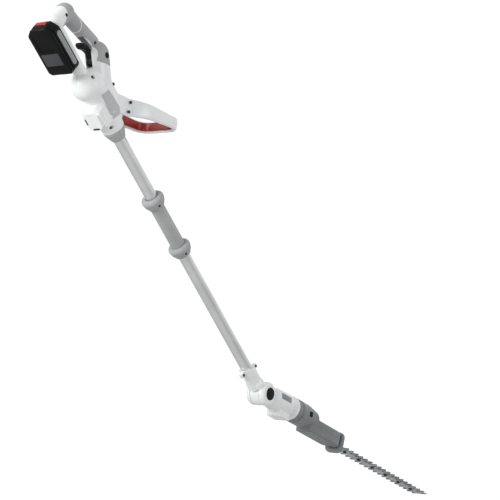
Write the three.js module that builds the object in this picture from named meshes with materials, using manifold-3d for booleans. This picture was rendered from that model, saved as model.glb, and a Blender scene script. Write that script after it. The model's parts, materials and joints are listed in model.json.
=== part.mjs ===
// Cordless pole hedge trimmer: battery handle, front loop handle, two-part pole, tilting cutter head.
// Millimetres. In the tool's own frame +X runs along the pole to the cutter, +Z is up, +Y is the user's left.
// X = 0 is the front face of the handle's pole collar and Z = 0 is the middle of the pole.
import * as THREE from 'three';
import { mergeVertices } from 'three/addons/utils/BufferGeometryUtils.js';
import Module from 'manifold-3d';

const wasm = await Module();
wasm.setup();

// ---- driving dimensions ---------------------------------------------------------------------------------
const gap = 0.3;               // clearance between pieces that touch
const wall = 2.6;              // wall of the moulded shells
const screwHead = 3.4;         // radius of the case screws' heads

// pole
const poleRadius = 14;         // outside radius of both aluminium tubes
const poleWall = 1.6;
const poleSocket = 92;         // length of pole held inside the handle
const upperVisible = 157;      // upper tube between the collar and the coupling
const couplingLength = 180;    // both flanges and the grip sleeve between them
const lowerVisible = 366;      // lower tube between the coupling and the neck
const neckSocket = 40;         // length of pole held inside the neck
const flangeLength = 37;
const sleeveWall = 2.3;
const flangeRise = 9.9;        // how far the flanges stand out from the grip sleeve
const coreLength = 120;        // aluminium spigot inside both tubes
const cableRadius = 3;

// handle: middle line of each bar in the X-Z plane, with its half width (Y) and half height
const gripRear = [-300, 40];
const gripFront = [-206, 67];
const gripHalfWidth = 15.5;
const gripHalfHeight = 16;
const columnFoot = [-304, -4];
const columnHalfWidth = 20;
const columnRadius = 19;
const strutFront = [-168, -6];
const strutHalfWidth = 17;
const strutHalfHeight = 12.5;
const podCentre = [-176, 63];
const podRadius = 29;
const podHalfWidth = 23;
const throatFoot = [-114, 22];
const throatRadius = 29;
const bulbCentre = [-146, -5];
const bulbRadius = 36;
const bodyRear = [-112, 15];
const bodyFront = [-70, 12];
const bodyHalfWidth = 31;
const bodyHalfHeight = 41;
const collarLength = 26;
const collarRadius = 25;
const bellyRear = -106;
const bellyFront = -50;
const bellyDepth = 45;         // how far the belly under the handle reaches below the pole's middle line
const bellyHalfWidth = 25;
const bellyCorner = 9;
const slotLength = 18;         // the belly's two blind slots, one in its left side and one in its front
const slotHeight = 5;
const slotDepth = 7;

// trigger and lock-off button
const triggerPivot = [-172, 46];
const triggerReach = 56;
const triggerHalfWidth = 7.5;
const triggerDrop = 20;
const lockOff = [-170, 65];
const lockOffRadius = 4.8;

// battery
const batteryLength = 113;
const batteryRear = -322;
const batteryHalfWidth = 33;
const batteryBottom = -56;
const batteryTop = -25;
const batteryChamfer = 5;
const batteryRearCorner = 14;   // the battery's two rear corners are cut off
const batteryFrontCorner = 7;
const batteryBaseHeight = 9;
const railHalfWidth = 19;
const railWebHalfWidth = 14;
const railHeight = 5;
const stripeLength = 84;
const stripeHeight = 16;
const stripeThick = 1.2;
const releaseHalfWidth = 15;

// loop handle: a D-shaped band that leans forward
const loopLean = 36.5;         // degrees between the loop's plane and the pole
const loopFoot = [-50, 41];    // where the loop's plane meets the handle
const loopReach = 160;
const loopHalfWidth = 60;
const loopFootHalfWidth = 34;
const bandWidth = 27;
const bandRootWidth = 42;      // the loop's two arms are broader where they join the handle
const bandTaperEnd = 112;
const bandRootLength = 22;     // the arms reach this far behind the loop's foot, along the saddle
const saddleHalfHeight = 15;   // the raised part of the housing that the loop's arms are screwed to
const bandThick = 10;
const liningThick = 3;
const liningWidth = 19;
const liningRootWidth = 30;

// neck, tilting joint and cutter head
const jointDistance = 98;      // from the end of the visible tube to the tilt axis
const neckWall = 4.7;
const neckRim = 1;             // the neck is this much thicker round its mouth
const neckRimLength = 26;
const lugRise = 11;            // how far the neck's two clamp lugs stand out from it
const lugThick = 5;
const lugLength = 12;
const mouthSlant = 28;         // degrees: the neck's mouth lies further forward at the top
const mouthSet = 11;           // the middle of the slanted mouth, ahead of the end of the visible tube
const jointRadius = 29.5;
const jointHalfWidth = 28;
const knuckleHalfWidth = 13;
const tiltPinRadius = 6;
const tiltButtonRadius = 15.5;
const tiltButtonHeight = 7;
const tiltButtonTravel = 5;
const headPitch = 26;          // degrees that the head is turned up in the stored pose
const axisRise = 4.5;          // the motor's axis passes this far above the tilt axis
const motorRadius = 30;
const motorRear = 38;
const motorFront = 129;
const motorBoxRear = 70;
const motorBoxFront = 122;
const motorBoxDepth = 40;
const motorBoxHalfWidth = 20;
const ringLength = 12;
const ringRadius = 31.5;
const gearCollarRadius = 31.5;
const gearCollarFront = 208;
const gearShoulderFront = 246;
const gearBoxRear = 214;
const gearBoxFront = 372;
const gearBoxBottom = -35;
const gearBoxTop = 0.5;
const tunnelRadius = 10;         // half height of the rib over the pinion
const gearBoxHalfWidth = 26;
const caseSplit = -15.5;       // height of the joint between the two halves of the gear case
const crownCentre = 300;
const crownRadius = 20;        // pitch radius, four times the pinion's
const crownTeeth = 36;
const crankShaftRadius = 3;
const pinionTeeth = 9;
const toothWidth = 1.1;
const toothHeight = 1.7;
const guardPosition = 376;
const guardThick = 14;
const guardHalfWidth = 25;
const guardTop = 7;
const guardBottom = -48;
const rotationButton = [196, 2.5];
const buttonHalf = 6.5;

// blades
const bladePlane = -28.5;        // height of the blades' middle, below the motor's axis
const bladeThick = 2;
const bladeRear = 318;
const bladeToothStart = 402;
const toothPitch = 26.9;
const toothCount = 18;
const bladeSpine = 10;
const toothTipHalf = 28;
const stroke = 8;              // each blade moves this far either way
const boltPitch = 79.2;
const boltCount = 6;
const boltRadius = 2.6;

// ---- derived places -------------------------------------------------------------------------------------
const couplingStart = upperVisible;
const couplingEnd = couplingStart + couplingLength;
const couplingMiddle = (couplingStart + couplingEnd) / 2;
const poleEnd = couplingEnd + lowerVisible;
const jointX = poleEnd + jointDistance;
const poleBore = poleRadius + gap;                    // every bore that the pole passes through
const sleeveRadius = poleBore + sleeveWall;
const flangeRadius = sleeveRadius + flangeRise;
const neckRadius = poleBore + neckWall;
const neckRimRadius = neckRadius + neckRim;
const lugReach = neckRimRadius + lugRise;
const bladeTip = bladeToothStart + toothCount * toothPitch;

// ---- materials ------------------------------------------------------------------------------------------
const finish = (color, roughness, metalness = 0) =>
  new THREE.MeshStandardMaterial({ color, roughness, metalness });
const whiteShell = finish(0xe9eaea, 0.35);
const greyGrip = finish(0x929394, 0.75);
const blackPlastic = finish(0x151515, 0.45);
const darkGrey = finish(0x66686a, 0.55);
const redPlastic = finish(0xa51a12, 0.4);
const aluminium = finish(0xcfd1d2, 0.35, 0.9);
const steel = finish(0x8b8d90, 0.4, 0.9);
const greenBoard = finish(0x1d5a34, 0.6);
const silverTrim = finish(0xb5b7b8, 0.35, 0.4);

// ---- solids ---------------------------------------------------------------------------------------------
/** Turns a closed three.js geometry into a solid that can be joined and cut. */
function solid(geometry) {
  const bare = geometry.index ? geometry.toNonIndexed() : geometry.clone();
  bare.deleteAttribute('normal');
  bare.deleteAttribute('uv');
  const merged = mergeVertices(bare, 1e-4);
  return new wasm.Manifold(new wasm.Mesh({
    numProp: 3,
    vertProperties: new Float32Array(merged.attributes.position.array),
    triVerts: new Uint32Array(merged.index.array),
  }));
}

/** Turns a solid back into a geometry, without the specks that a cut can leave. */
function geometryOf(shape) {
  const parts = shape.decompose();
  const main = parts.reduce((a, b) => (b.volume() > a.volume() ? b : a));
  const mesh = main.getMesh();
  const geometry = new THREE.BufferGeometry();
  geometry.setAttribute('position', new THREE.BufferAttribute(mesh.vertProperties, 3));
  geometry.setIndex(new THREE.BufferAttribute(mesh.triVerts, 1));
  return geometry;
}

const join = (...shapes) => shapes.reduce((a, b) => a.add(b));

function box(x0, x1, y0, y1, z0, z1) {
  const geometry = new THREE.BoxGeometry(x1 - x0, y1 - y0, z1 - z0);
  geometry.translate((x0 + x1) / 2, (y0 + y1) / 2, (z0 + z1) / 2);
  return solid(geometry);
}

/** A bar with round ends between two points of the X-Z plane, with an elliptical section. */
function bar([x0, z0], [x1, z1], halfWidth, halfHeight, around = 16) {
  const length = Math.hypot(x1 - x0, z1 - z0);
  const geometry = new THREE.CapsuleGeometry(halfHeight, length, 3, around);
  geometry.rotateZ(-Math.PI / 2);
  geometry.scale(1, halfWidth / halfHeight, 1);
  geometry.rotateY(-Math.atan2(z1 - z0, x1 - x0));
  geometry.translate((x0 + x1) / 2, 0, (z0 + z1) / 2);
  return solid(geometry);
}

function ball([x, z], radius, halfWidth = radius, around = 16) {
  const geometry = new THREE.SphereGeometry(radius, around, around / 2);
  geometry.rotateX(Math.PI / 2);
  geometry.scale(1, halfWidth / radius, 1);
  geometry.translate(x, 0, z);
  return solid(geometry);
}

/** A solid of revolution about an axis parallel to X; the profile is [x, radius] pairs from axis to axis. */
function turned(profile, z = 0, around = 24) {
  const points = profile.map(([x, r]) => new THREE.Vector2(r, x));
  const geometry = new THREE.LatheGeometry(points, around);
  geometry.rotateZ(-Math.PI / 2);
  geometry.translate(0, 0, z);
  return solid(geometry);
}

const rod = (x0, x1, r, z = 0, around = 24) => turned([[x0, 0], [x0, r], [x1, r], [x1, 0]], z, around);

/** A cylinder across the tool, from y0 to y1. */
function crossRod([x, z], radius, y0, y1, around = 20) {
  const geometry = new THREE.CylinderGeometry(radius, radius, y1 - y0, around);
  geometry.translate(x, (y0 + y1) / 2, z);
  return solid(geometry);
}

/** An upright cylinder. */
function post([x, y], radius, z0, z1, around = 16) {
  const geometry = new THREE.CylinderGeometry(radius, radius, z1 - z0, around);
  geometry.rotateX(Math.PI / 2);
  geometry.translate(x, y, (z0 + z1) / 2);
  return solid(geometry);
}

/** Extrudes an outline: drawn in X-Y and rising from z0 to z1. */
function plate(outline, z0, z1, curveSegments = 4) {
  const geometry = new THREE.ExtrudeGeometry(outline, { depth: z1 - z0, bevelEnabled: false, curveSegments });
  geometry.translate(0, 0, z0);
  return solid(geometry);
}

/** Extrudes an outline drawn in X-Z across the tool, from y0 to y1. */
function sidePlate(outline, y0, y1, curveSegments = 4) {
  const geometry = new THREE.ExtrudeGeometry(outline, { depth: y1 - y0, bevelEnabled: false, curveSegments });
  geometry.rotateX(Math.PI / 2);
  geometry.translate(0, y1, 0);
  return solid(geometry);
}

/** A rectangle with its corners cut off, as an outline; the rear corners (at x0) can be larger. */
function chamferedRectangle(x0, x1, y0, y1, corner, rearCorner = corner) {
  const outline = new THREE.Shape();
  outline.moveTo(x0 + rearCorner, y0);
  outline.lineTo(x1 - corner, y0);
  outline.lineTo(x1, y0 + corner);
  outline.lineTo(x1, y1 - corner);
  outline.lineTo(x1 - corner, y1);
  outline.lineTo(x0 + rearCorner, y1);
  outline.lineTo(x0, y1 - rearCorner);
  outline.lineTo(x0, y0 + rearCorner);
  return outline;
}

/** A rectangle with rounded corners, as an outline. */
function roundedRectangle(x0, x1, y0, y1, radius) {
  const r = Math.min(radius, (x1 - x0) / 2 - 0.01, (y1 - y0) / 2 - 0.01);
  const outline = new THREE.Shape();
  outline.moveTo(x0 + r, y0);
  outline.lineTo(x1 - r, y0);
  outline.absarc(x1 - r, y0 + r, r, -Math.PI / 2, 0);
  outline.lineTo(x1, y1 - r);
  outline.absarc(x1 - r, y1 - r, r, 0, Math.PI / 2);
  outline.lineTo(x0 + r, y1);
  outline.absarc(x0 + r, y1 - r, r, Math.PI / 2, Math.PI);
  outline.lineTo(x0, y0 + r);
  outline.absarc(x0 + r, y0 + r, r, Math.PI, Math.PI * 1.5);
  return outline;
}

// ---- assembly helpers -----------------------------------------------------------------------------------
const hedgeTrimmer = new THREE.Group();
const tool = new THREE.Group();                   // the pole's frame
const head = new THREE.Group();                   // the tilting head: X runs along the motor's axis
const pitch = THREE.MathUtils.degToRad(headPitch);
head.position.set(jointX - axisRise * Math.sin(pitch), 0, axisRise * Math.cos(pitch));
head.rotation.y = -pitch;
tool.add(head);
hedgeTrimmer.add(tool);

function put(parent, name, shape, material) {
  const mesh = new THREE.Mesh(geometryOf(shape), material);
  mesh.name = name;
  parent.add(mesh);
  return shape;
}

const far = 3000;
const leftOf = (y) => box(-far, far, y, far, -far, far);
const rightOf = (y) => box(-far, far, -far, y, -far, far);
const above = (z) => box(-far, far, -far, far, z, far);
const below = (z) => box(-far, far, -far, far, -far, z);

/** A pan-head screw across the tool; its head faces away from the middle on the side given by sign. */
function sideScrew([x, z], headY, length, sign) {
  const inner = headY - sign * length;
  const shank = crossRod([x, z], 1.6, Math.min(inner, headY), Math.max(inner, headY), 10);
  const headTop = headY + sign * 2;
  return join(shank, crossRod([x, z], screwHead, Math.min(headY, headTop), Math.max(headY, headTop), 16));
}

// ---- handle housing -------------------------------------------------------------------------------------
/** The handle's outer form, drawn in by inset on every side, with a number of facets round each bar. */
function handleForm(inset, facets = 14) {
  const shrink = (value) => value - inset;
  const cone = turned([
    [bodyFront[0], 0], [bodyFront[0], shrink(bodyHalfWidth)],
    [-collarLength - gap, shrink(collarRadius)], [-collarLength - gap, 0],
  ], 0, 20);
  return join(
    bar(gripRear, gripFront, shrink(gripHalfWidth), shrink(gripHalfHeight), facets),
    bar(gripRear, columnFoot, shrink(columnHalfWidth), shrink(columnRadius), facets),
    bar(columnFoot, strutFront, shrink(strutHalfWidth), shrink(strutHalfHeight), facets),
    ball(podCentre, shrink(podRadius), shrink(podHalfWidth), facets),
    bar(podCentre, throatFoot, shrink(podHalfWidth + 2), shrink(throatRadius), facets),
    ball(bulbCentre, shrink(bulbRadius), shrink(bulbRadius), facets),
    bar(bodyRear, bodyFront, shrink(bodyHalfWidth), shrink(bodyHalfHeight), facets),
    cone,
  );
}

const batteryFront = batteryRear + batteryLength;
const railTop = batteryTop - 3;                       // underside of the battery's two lips
const railBottom = railTop - railHeight;
const railRear = batteryRear + 14;
const railFront = batteryFront - 1;
/** The T-shaped rail that the battery slides on. */
function batteryRail() {
  return join(
    box(railRear, railFront, -railWebHalfWidth, railWebHalfWidth, railTop - 1, strutFront[1]),
    box(railRear, railFront, -railHalfWidth, railHalfWidth, railBottom, railTop),
  );
}

/** The belly under the handle, a block with chamfered edges, drawn in by inset on every side. */
function bellyForm(inset) {
  const slab = (corner, z0) => plate(chamferedRectangle(
    bellyRear + inset + corner, bellyFront - inset - corner,
    -bellyHalfWidth + inset + corner, bellyHalfWidth - inset - corner, bellyCorner,
  ), z0 + inset, -15);
  return slab(0, -bellyDepth + 6).add(slab(5, -bellyDepth));
}

/** Moves a solid from the loop's plane to its place on the handle. */
function leanLoop(shape) {
  const lean = THREE.MathUtils.degToRad(loopLean);
  const place = new THREE.Matrix4().makeRotationY(-lean).setPosition(loopFoot[0], 0, loopFoot[1]);
  return shape.transform(place.toArray());
}

/** The raised saddle on the housing, between the loop's two arms. */
function saddleForm() {
  const halfWidth = loopFootHalfWidth - bandThick - gap;
  return leanLoop(box(
    -bandRootLength - 4, 4, -halfWidth, halfWidth, -saddleHalfHeight, saddleHalfHeight,
  ));
}

const loopScrewPlaces = [[-57, 48], [-46, 29]];
const loopScrewSeat = 36;                             // the heads of the loop's two screws, from the middle
const loopScrewForm = (place, grow) => join(
  crossRod(place, 1.6 + grow, -loopScrewSeat, -loopScrewSeat + 22 + grow, 10),
  crossRod(place, screwHead + grow, -loopScrewSeat - 2 - grow * 60, -loopScrewSeat + grow, 16),
);

const screwPlaces = [[-303, 22], [-206, 62], [-166, -8], [-113, 40], [-44, -poleRadius - 6]];
const screwSeat = [17, 13, 24, 24, 13];               // how far each screw's head lies from the middle

function handleHousing() {
  const slotZ = -bellyDepth + 9;
  const slotX = (bellyRear + bellyFront) / 2;
  const slots = join(
    box(slotX - slotLength / 2, slotX + slotLength / 2, bellyHalfWidth - slotDepth, bellyHalfWidth + 1,
      slotZ - slotHeight / 2, slotZ + slotHeight / 2),
    box(bellyFront - slotDepth, bellyFront + 1, -slotLength / 2, slotLength / 2,
      slotZ - slotHeight / 2, slotZ + slotHeight / 2),
  );
  const belly = bellyForm(0).subtract(slots);
  const outer = join(handleForm(0), batteryRail(), belly, saddleForm());
  const hollow = join(
    handleForm(wall, 8),
    bellyForm(slotDepth + wall),
    box(
      triggerPivot[0] - triggerReach - 6, triggerPivot[0] + 7,
      -triggerHalfWidth - 1, triggerHalfWidth + 1, 20, 60,
    ),
  );
  const poleHole = rod(-poleSocket - 10, 1, poleBore);
  const ribs = [-poleSocket + 6, -40].map((x) => rod(x, x + 4, bodyHalfWidth - 1).subtract(poleHole));
  let shell = outer.subtract(hollow);
  ribs.forEach((rib) => { shell = shell.add(rib.intersect(handleForm(1, 8))); });
  shell = shell.subtract(poleHole);
  screwPlaces.forEach((place, i) => {
    const y = screwSeat[i];
    const boss = crossRod(place, 5, -y - 4, y + 4, 14).intersect(handleForm(0));
    const hole = crossRod(place, 1.6 + gap, -y - 8, y - 3, 10)
      .add(crossRod(place, screwHead + gap, -60, -y + 2.2, 16));
    shell = shell.add(boss).subtract(hole);
  });
  loopScrewPlaces.forEach((place) => { shell = shell.subtract(loopScrewForm(place, gap)); });
  const lockHole = crossRod(lockOff, lockOffRadius + gap, -60, 0, 20);
  return shell.subtract(lockHole);
}

const housing = handleHousing();
put(tool, 'housing_left', housing.intersect(leftOf(gap / 2)), whiteShell);
put(tool, 'housing_right', housing.intersect(rightOf(-gap / 2)), whiteShell);

screwPlaces.forEach((place, i) => {
  put(tool, `housing_screw_${i + 1}`, sideScrew(place, -screwSeat[i] - 0.1, screwSeat[i] + 8, -1)
    .intersect(rightOf(screwSeat[i] - 4)), steel);
});

// the soft pad wraps the back of the grip
const padInset = 2;
const padForm = bar(
  [gripRear[0] + 8, gripRear[1] + 2.3], [gripRear[0] + 48, gripRear[1] + 13.8],
  gripHalfWidth + padInset, gripHalfHeight + padInset,
);
const handleClear = handleForm(-gap);
put(tool, 'grip_pad', padForm.subtract(handleClear).intersect(above(gripRear[1] + 4)), greyGrip);

put(tool, 'pole_collar', turned([
  [-collarLength, poleBore], [-collarLength, collarRadius], [-collarLength + 5, collarRadius],
  [0, poleBore + 1.7], [0, poleBore], [-collarLength, poleBore],
]), greyGrip);

// ---- trigger, switch and board --------------------------------------------------------------------------
function triggerForm() {
  const [px, pz] = triggerPivot;
  const outline = new THREE.Shape();
  outline.moveTo(px + 4, pz + 3);
  outline.lineTo(px + 4, pz - 17);
  outline.lineTo(px - 5, pz - 17);
  outline.quadraticCurveTo(px - 8, pz - 7, px - 20, pz - 6);
  outline.quadraticCurveTo(px - 34, pz - 7, px - triggerReach + 13, pz - triggerDrop + 2);
  outline.lineTo(px - triggerReach + 5, pz - triggerDrop);
  outline.quadraticCurveTo(px - triggerReach - 1, pz - 18, px - triggerReach, pz - 13);
  outline.quadraticCurveTo(px - 43, pz + 1, px - 24, pz + 2);
  return sidePlate(outline, -triggerHalfWidth, triggerHalfWidth, 5);
}
const trigger = triggerForm();
put(tool, 'trigger', trigger, blackPlastic);
put(tool, 'trigger_switch', box(
  triggerPivot[0] - 26, triggerPivot[0] - 12, -6, 6, triggerPivot[1] + 15, triggerPivot[1] + 26,
), darkGrey);
put(tool, 'lock_off_button', crossRod(
  lockOff, lockOffRadius, -podHalfWidth - 3, -podHalfWidth + 10, 20,
), blackPlastic);
put(tool, 'control_board', box(
  bulbCentre[0] - 19, bulbCentre[0] + 18, -bulbRadius / 2, bulbRadius / 2,
  bulbCentre[1] - 17, bulbCentre[1] - 15,
), greenBoard);
put(tool, 'terminal_block', box(
  railFront + 2, railFront + 9, -13, 13, railBottom - 8, railTop - 2,
), blackPlastic);

// ---- loop handle ----------------------------------------------------------------------------------------
/** The D-shaped middle line of the loop, in the loop's own plane: [forward, sideways]. */
function loopOutline(grow) {
  const foot = loopFootHalfWidth + grow;
  const side = loopHalfWidth + grow;
  const reach = loopReach + grow;
  const corner = Math.min(34 + grow, side - 4);
  const outline = new THREE.Shape();
  outline.moveTo(-bandRootLength, -foot);
  outline.lineTo(0, -foot);
  outline.quadraticCurveTo(30, -side, 62, -side);
  outline.lineTo(reach - corner, -side);
  outline.absarc(reach - corner, -side + corner, corner, -Math.PI / 2, 0);
  outline.lineTo(reach, side - corner);
  outline.absarc(reach - corner, side - corner, corner, 0, Math.PI / 2);
  outline.lineTo(62, side);
  outline.quadraticCurveTo(30, side, 0, foot);
  outline.lineTo(-bandRootLength, foot);
  return outline;
}

/** The band between two outlines, as broad as its root at the feet and as its width at the crossbar. */
function loopBand(outerGrow, innerGrow, width, rootWidth) {
  const band = plate(loopOutline(outerGrow), -bandRootWidth, bandRootWidth, 5)
    .subtract(plate(loopOutline(innerGrow), -bandRootWidth - 1, bandRootWidth + 1, 5));
  const side = new THREE.Shape();
  side.moveTo(-30, -rootWidth / 2);
  side.lineTo(bandTaperEnd, -width / 2);
  side.lineTo(loopReach + 20, -width / 2);
  side.lineTo(loopReach + 20, width / 2);
  side.lineTo(bandTaperEnd, width / 2);
  side.lineTo(-30, rootWidth / 2);
  return band.intersect(sidePlate(side, -200, 200));
}

let loopHandle = leanLoop(loopBand(0, -bandThick, bandWidth, bandRootWidth)).subtract(handleForm(-gap));
loopScrewPlaces.forEach((place, i) => {
  loopHandle = loopHandle.subtract(loopScrewForm(place, gap));
  put(tool, `loop_screw_${i + 1}`, loopScrewForm(place, 0), steel);
});
put(tool, 'loop_handle', loopHandle, whiteShell);
const liningClip = box(22, loopReach + 10, -200, 200, -200, 200);
put(tool, 'loop_lining', leanLoop(
  loopBand(-bandThick - gap, -bandThick - gap - liningThick, liningWidth, liningRootWidth)
    .intersect(liningClip),
).subtract(handleForm(-1)), redPlastic);

// ---- battery --------------------------------------------------------------------------------------------
/** The battery's end outline in Y-Z, between two heights, drawn in by inset. */
function batteryBlock(z0, z1, inset) {
  const outline = chamferedRectangle(
    batteryRear + inset, batteryFront - inset, -batteryHalfWidth + inset, batteryHalfWidth - inset,
    batteryFrontCorner, batteryRearCorner,
  );
  return plate(outline, z0, z1);
}

const batterySplit = batteryBottom + batteryBaseHeight;
const railPocket = join(
  box(railRear - 4, far, -railWebHalfWidth - 0.6, railWebHalfWidth + 0.6, railTop - 2, 0),
  box(railRear - 4, far, -railHalfWidth - 0.6, railHalfWidth + 0.6, railBottom - 0.6, railTop + 0.6),
  box(batteryFront - 6, far, -14, 14, railBottom - 9, railTop),
);
const stripeMiddle = [(batteryRear + batteryFront) / 2 + 4, (batteryTop + batterySplit) / 2 + 0.5];
const stripeForm = (y0, y1, grow) => sidePlate(roundedRectangle(
  stripeMiddle[0] - stripeLength / 2 - grow, stripeMiddle[0] + stripeLength / 2 + grow,
  stripeMiddle[1] - stripeHeight / 2 - grow, stripeMiddle[1] + stripeHeight / 2 + grow, 8,
), y0, y1);
const releaseZ = [batteryTop - 15, batteryTop - 6];
const releaseForm = (grow) => box(
  batteryRear - 2.5 - grow, batteryRear + 6 + grow, -releaseHalfWidth - grow, releaseHalfWidth + grow,
  releaseZ[0] - grow, releaseZ[1] + grow,
);

const cellHollow = batteryBlock(batterySplit - far, railBottom - 3, 3).intersect(above(batterySplit - 1));
const batteryCase = batteryBlock(batterySplit + gap, batteryTop, 0)
  .subtract(cellHollow).subtract(railPocket)
  .subtract(stripeForm(-100, -batteryHalfWidth + stripeThick, gap))
  .subtract(stripeForm(batteryHalfWidth - stripeThick, 100, gap))
  .subtract(releaseForm(0.5).add(box(batteryRear - 1, batteryRear + 10, -releaseHalfWidth - 0.5,
    releaseHalfWidth + 0.5, releaseZ[0] - 0.5, releaseZ[1] + 0.5)));
put(tool, 'battery_case', batteryCase, blackPlastic);

put(tool, 'battery_base', join(
  batteryBlock(batteryBottom, batterySplit, batteryChamfer),
  batteryBlock(batteryBottom + batteryChamfer, batterySplit, 0),
), blackPlastic);
put(tool, 'battery_cells', box(
  batteryRear + 19, batteryFront - 10, -batteryHalfWidth + 5, batteryHalfWidth - 5,
  batterySplit + 0.6, railBottom - 4,
), darkGrey);
put(tool, 'battery_release', releaseForm(0), redPlastic);
const stripeBed = batteryHalfWidth - stripeThick + gap;
const stripeFace = batteryHalfWidth + gap;
put(tool, 'battery_stripe_left', stripeForm(stripeBed, stripeFace, 0), silverTrim);
put(tool, 'battery_stripe_right', stripeForm(-stripeFace, -stripeBed, 0), silverTrim);

// ---- pole -----------------------------------------------------------------------------------------------
const tube = (x0, x1, outer, inner) => rod(x0, x1, outer).subtract(rod(x0 - 1, x1 + 1, inner));
const tubeBore = poleRadius - poleWall;
put(tool, 'upper_tube', tube(-poleSocket, couplingMiddle - gap, poleRadius, tubeBore), aluminium);
put(tool, 'lower_tube', tube(couplingMiddle + gap, poleEnd + neckSocket, poleRadius, tubeBore), aluminium);
put(tool, 'coupling_core', tube(
  couplingMiddle - coreLength / 2, couplingMiddle + coreLength / 2, tubeBore - gap, cableRadius + 4,
), aluminium);
const sleeveStart = couplingStart + flangeLength;
const sleeveEnd = couplingEnd - flangeLength;
put(tool, 'coupling_sleeve', tube(sleeveStart + gap, sleeveEnd - gap, sleeveRadius, poleBore), greyGrip);

/** A barrel-shaped flange with a cupped rear face around the tube. */
function flange(x0) {
  const x1 = x0 + flangeLength;
  const profile = [[x0 + 9, poleBore], [x0, poleBore + 4]];
  for (let i = 0; i <= 6; i += 1) {
    const turn = Math.PI * (i / 6);
    const radius = sleeveRadius + 3 + (flangeRadius - sleeveRadius - 3) * Math.sin(turn) ** 0.55;
    profile.push([x0 + flangeLength * (0.5 - 0.5 * Math.cos(turn)) + (i === 0 ? 0.8 : 0), radius]);
  }
  profile.push([x1, poleBore], [x0 + 9, poleBore]);
  return turned(profile);
}
const flangeScrewSeat = sleeveRadius + 6;
/** Clamp screws lie radially in each flange, on the user's right and a little below. */
const screwRoll = 30;
function radialScrew(x, grow) {
  const shank = post([x, 0], 1.6 + grow, poleRadius + 2 * gap - grow, flangeScrewSeat + 1, 10);
  const top = grow > 0 ? flangeRadius + 8 : flangeScrewSeat + 2;
  const screw = join(shank, post([x, 0], screwHead - 0.6 + grow, flangeScrewSeat - grow, top, 14));
  return screw.rotate([90 + screwRoll, 0, 0]);
}
[['upper', couplingStart], ['lower', sleeveEnd]].forEach(([side, start], i) => {
  const screwX = start + flangeLength * 0.72;
  put(tool, `${side}_flange`, flange(start).subtract(radialScrew(screwX, gap)), greyGrip);
  put(tool, `flange_screw_${i + 1}`, radialScrew(screwX, 0), steel);
});
put(tool, 'motor_cable', rod(-poleSocket - 6, poleEnd + neckSocket + 4, cableRadius, 0, 10), blackPlastic);

// ---- neck and tilting joint -----------------------------------------------------------------------------
const jointPlace = [jointX, 0];
const mouthSlope = Math.tan(THREE.MathUtils.degToRad(mouthSlant));
const lugX = (side) => poleEnd + mouthSet + lugLength / 2 + side * neckRadius * mouthSlope;
function neckBracket() {
  const stem = turned([
    [poleEnd - 4, 0], [poleEnd - 4, neckRimRadius], [poleEnd + neckRimLength, neckRimRadius],
    [poleEnd + neckRimLength + 8, neckRadius], [jointX - jointRadius - 6, neckRadius],
    [jointX - jointRadius - 6, 0],
  ]);
  const yoke = bar([jointX - jointRadius - 14, 0], jointPlace, jointHalfWidth - 2, neckRadius - 1)
    .intersect(box(-far, jointX, -jointHalfWidth, jointHalfWidth, -far, far));
  const ears = crossRod(jointPlace, jointRadius, -jointHalfWidth, jointHalfWidth, 28);
  const lugs = [-1, 1].map((side) => box(
    lugX(side) - lugLength / 2, lugX(side) + lugLength / 2, -lugThick, lugThick,
    side > 0 ? neckRadius - 4 : -lugReach, side > 0 ? lugReach : -neckRadius + 4,
  ));
  const mouth = box(-60, 0, -40, 40, -60, 60)
    .rotate([0, mouthSlant, 0]).translate([poleEnd + mouthSet, 0, 0]);
  const middle = crossRod(jointPlace, jointRadius + 4, -knuckleHalfWidth - gap, knuckleHalfWidth + gap, 28);
  const pinHole = crossRod(jointPlace, tiltPinRadius + gap, -jointHalfWidth - 1, jointHalfWidth + 1, 20);
  const buttonWell = crossRod(
    jointPlace, tiltButtonRadius + gap, -jointHalfWidth - 1, -jointHalfWidth + tiltButtonTravel + 3, 28,
  );
  const capWell = crossRod(jointPlace, 20 + gap, jointHalfWidth - 3, jointHalfWidth + 1, 28);
  const socket = rod(poleEnd - 5, poleEnd + neckSocket + 6, poleBore);
  const wire = rod(poleEnd, jointX, cableRadius + 2, 0, 12);
  return join(stem.subtract(mouth), yoke, ears, ...lugs)
    .subtract(middle).subtract(pinHole).subtract(buttonWell).subtract(capWell)
    .subtract(socket).subtract(wire);
}
/** A clamp screw runs across a lug, between the pole and the lug's end. */
const clampScrew = (side, grow) => {
  const z = side * (neckRimRadius + lugReach) / 2;
  const shank = crossRod([lugX(side), z], 1.6 + grow, -lugThick - 0.1 - grow, lugThick - 1 + grow, 10);
  const headTop = -lugThick - 2.1 - grow * 8;
  return shank.add(crossRod([lugX(side), z], screwHead + grow, headTop, -lugThick - 0.1 - grow, 16));
};
const clampSides = [-1, 1];
let neck = neckBracket();
clampSides.forEach((side) => { neck = neck.subtract(clampScrew(side, gap)); });
put(tool, 'neck_bracket', neck, whiteShell);
clampSides.forEach((side, i) => put(tool, `clamp_screw_${i + 1}`, clampScrew(side, 0), steel));
put(tool, 'joint_cap', crossRod(jointPlace, 20, jointHalfWidth - 2.7, jointHalfWidth + 1.5, 28), whiteShell);
put(tool, 'joint_pin', crossRod(
  jointPlace, tiltPinRadius, -jointHalfWidth + tiltButtonTravel + 3.5, jointHalfWidth - 3.4, 20,
), steel);
const buttonFace = -jointHalfWidth - tiltButtonHeight + 4;
put(tool, 'tilt_lock_button', crossRod(
  jointPlace, tiltButtonRadius, buttonFace, -jointHalfWidth + 2, 28,
), blackPlastic);

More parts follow.
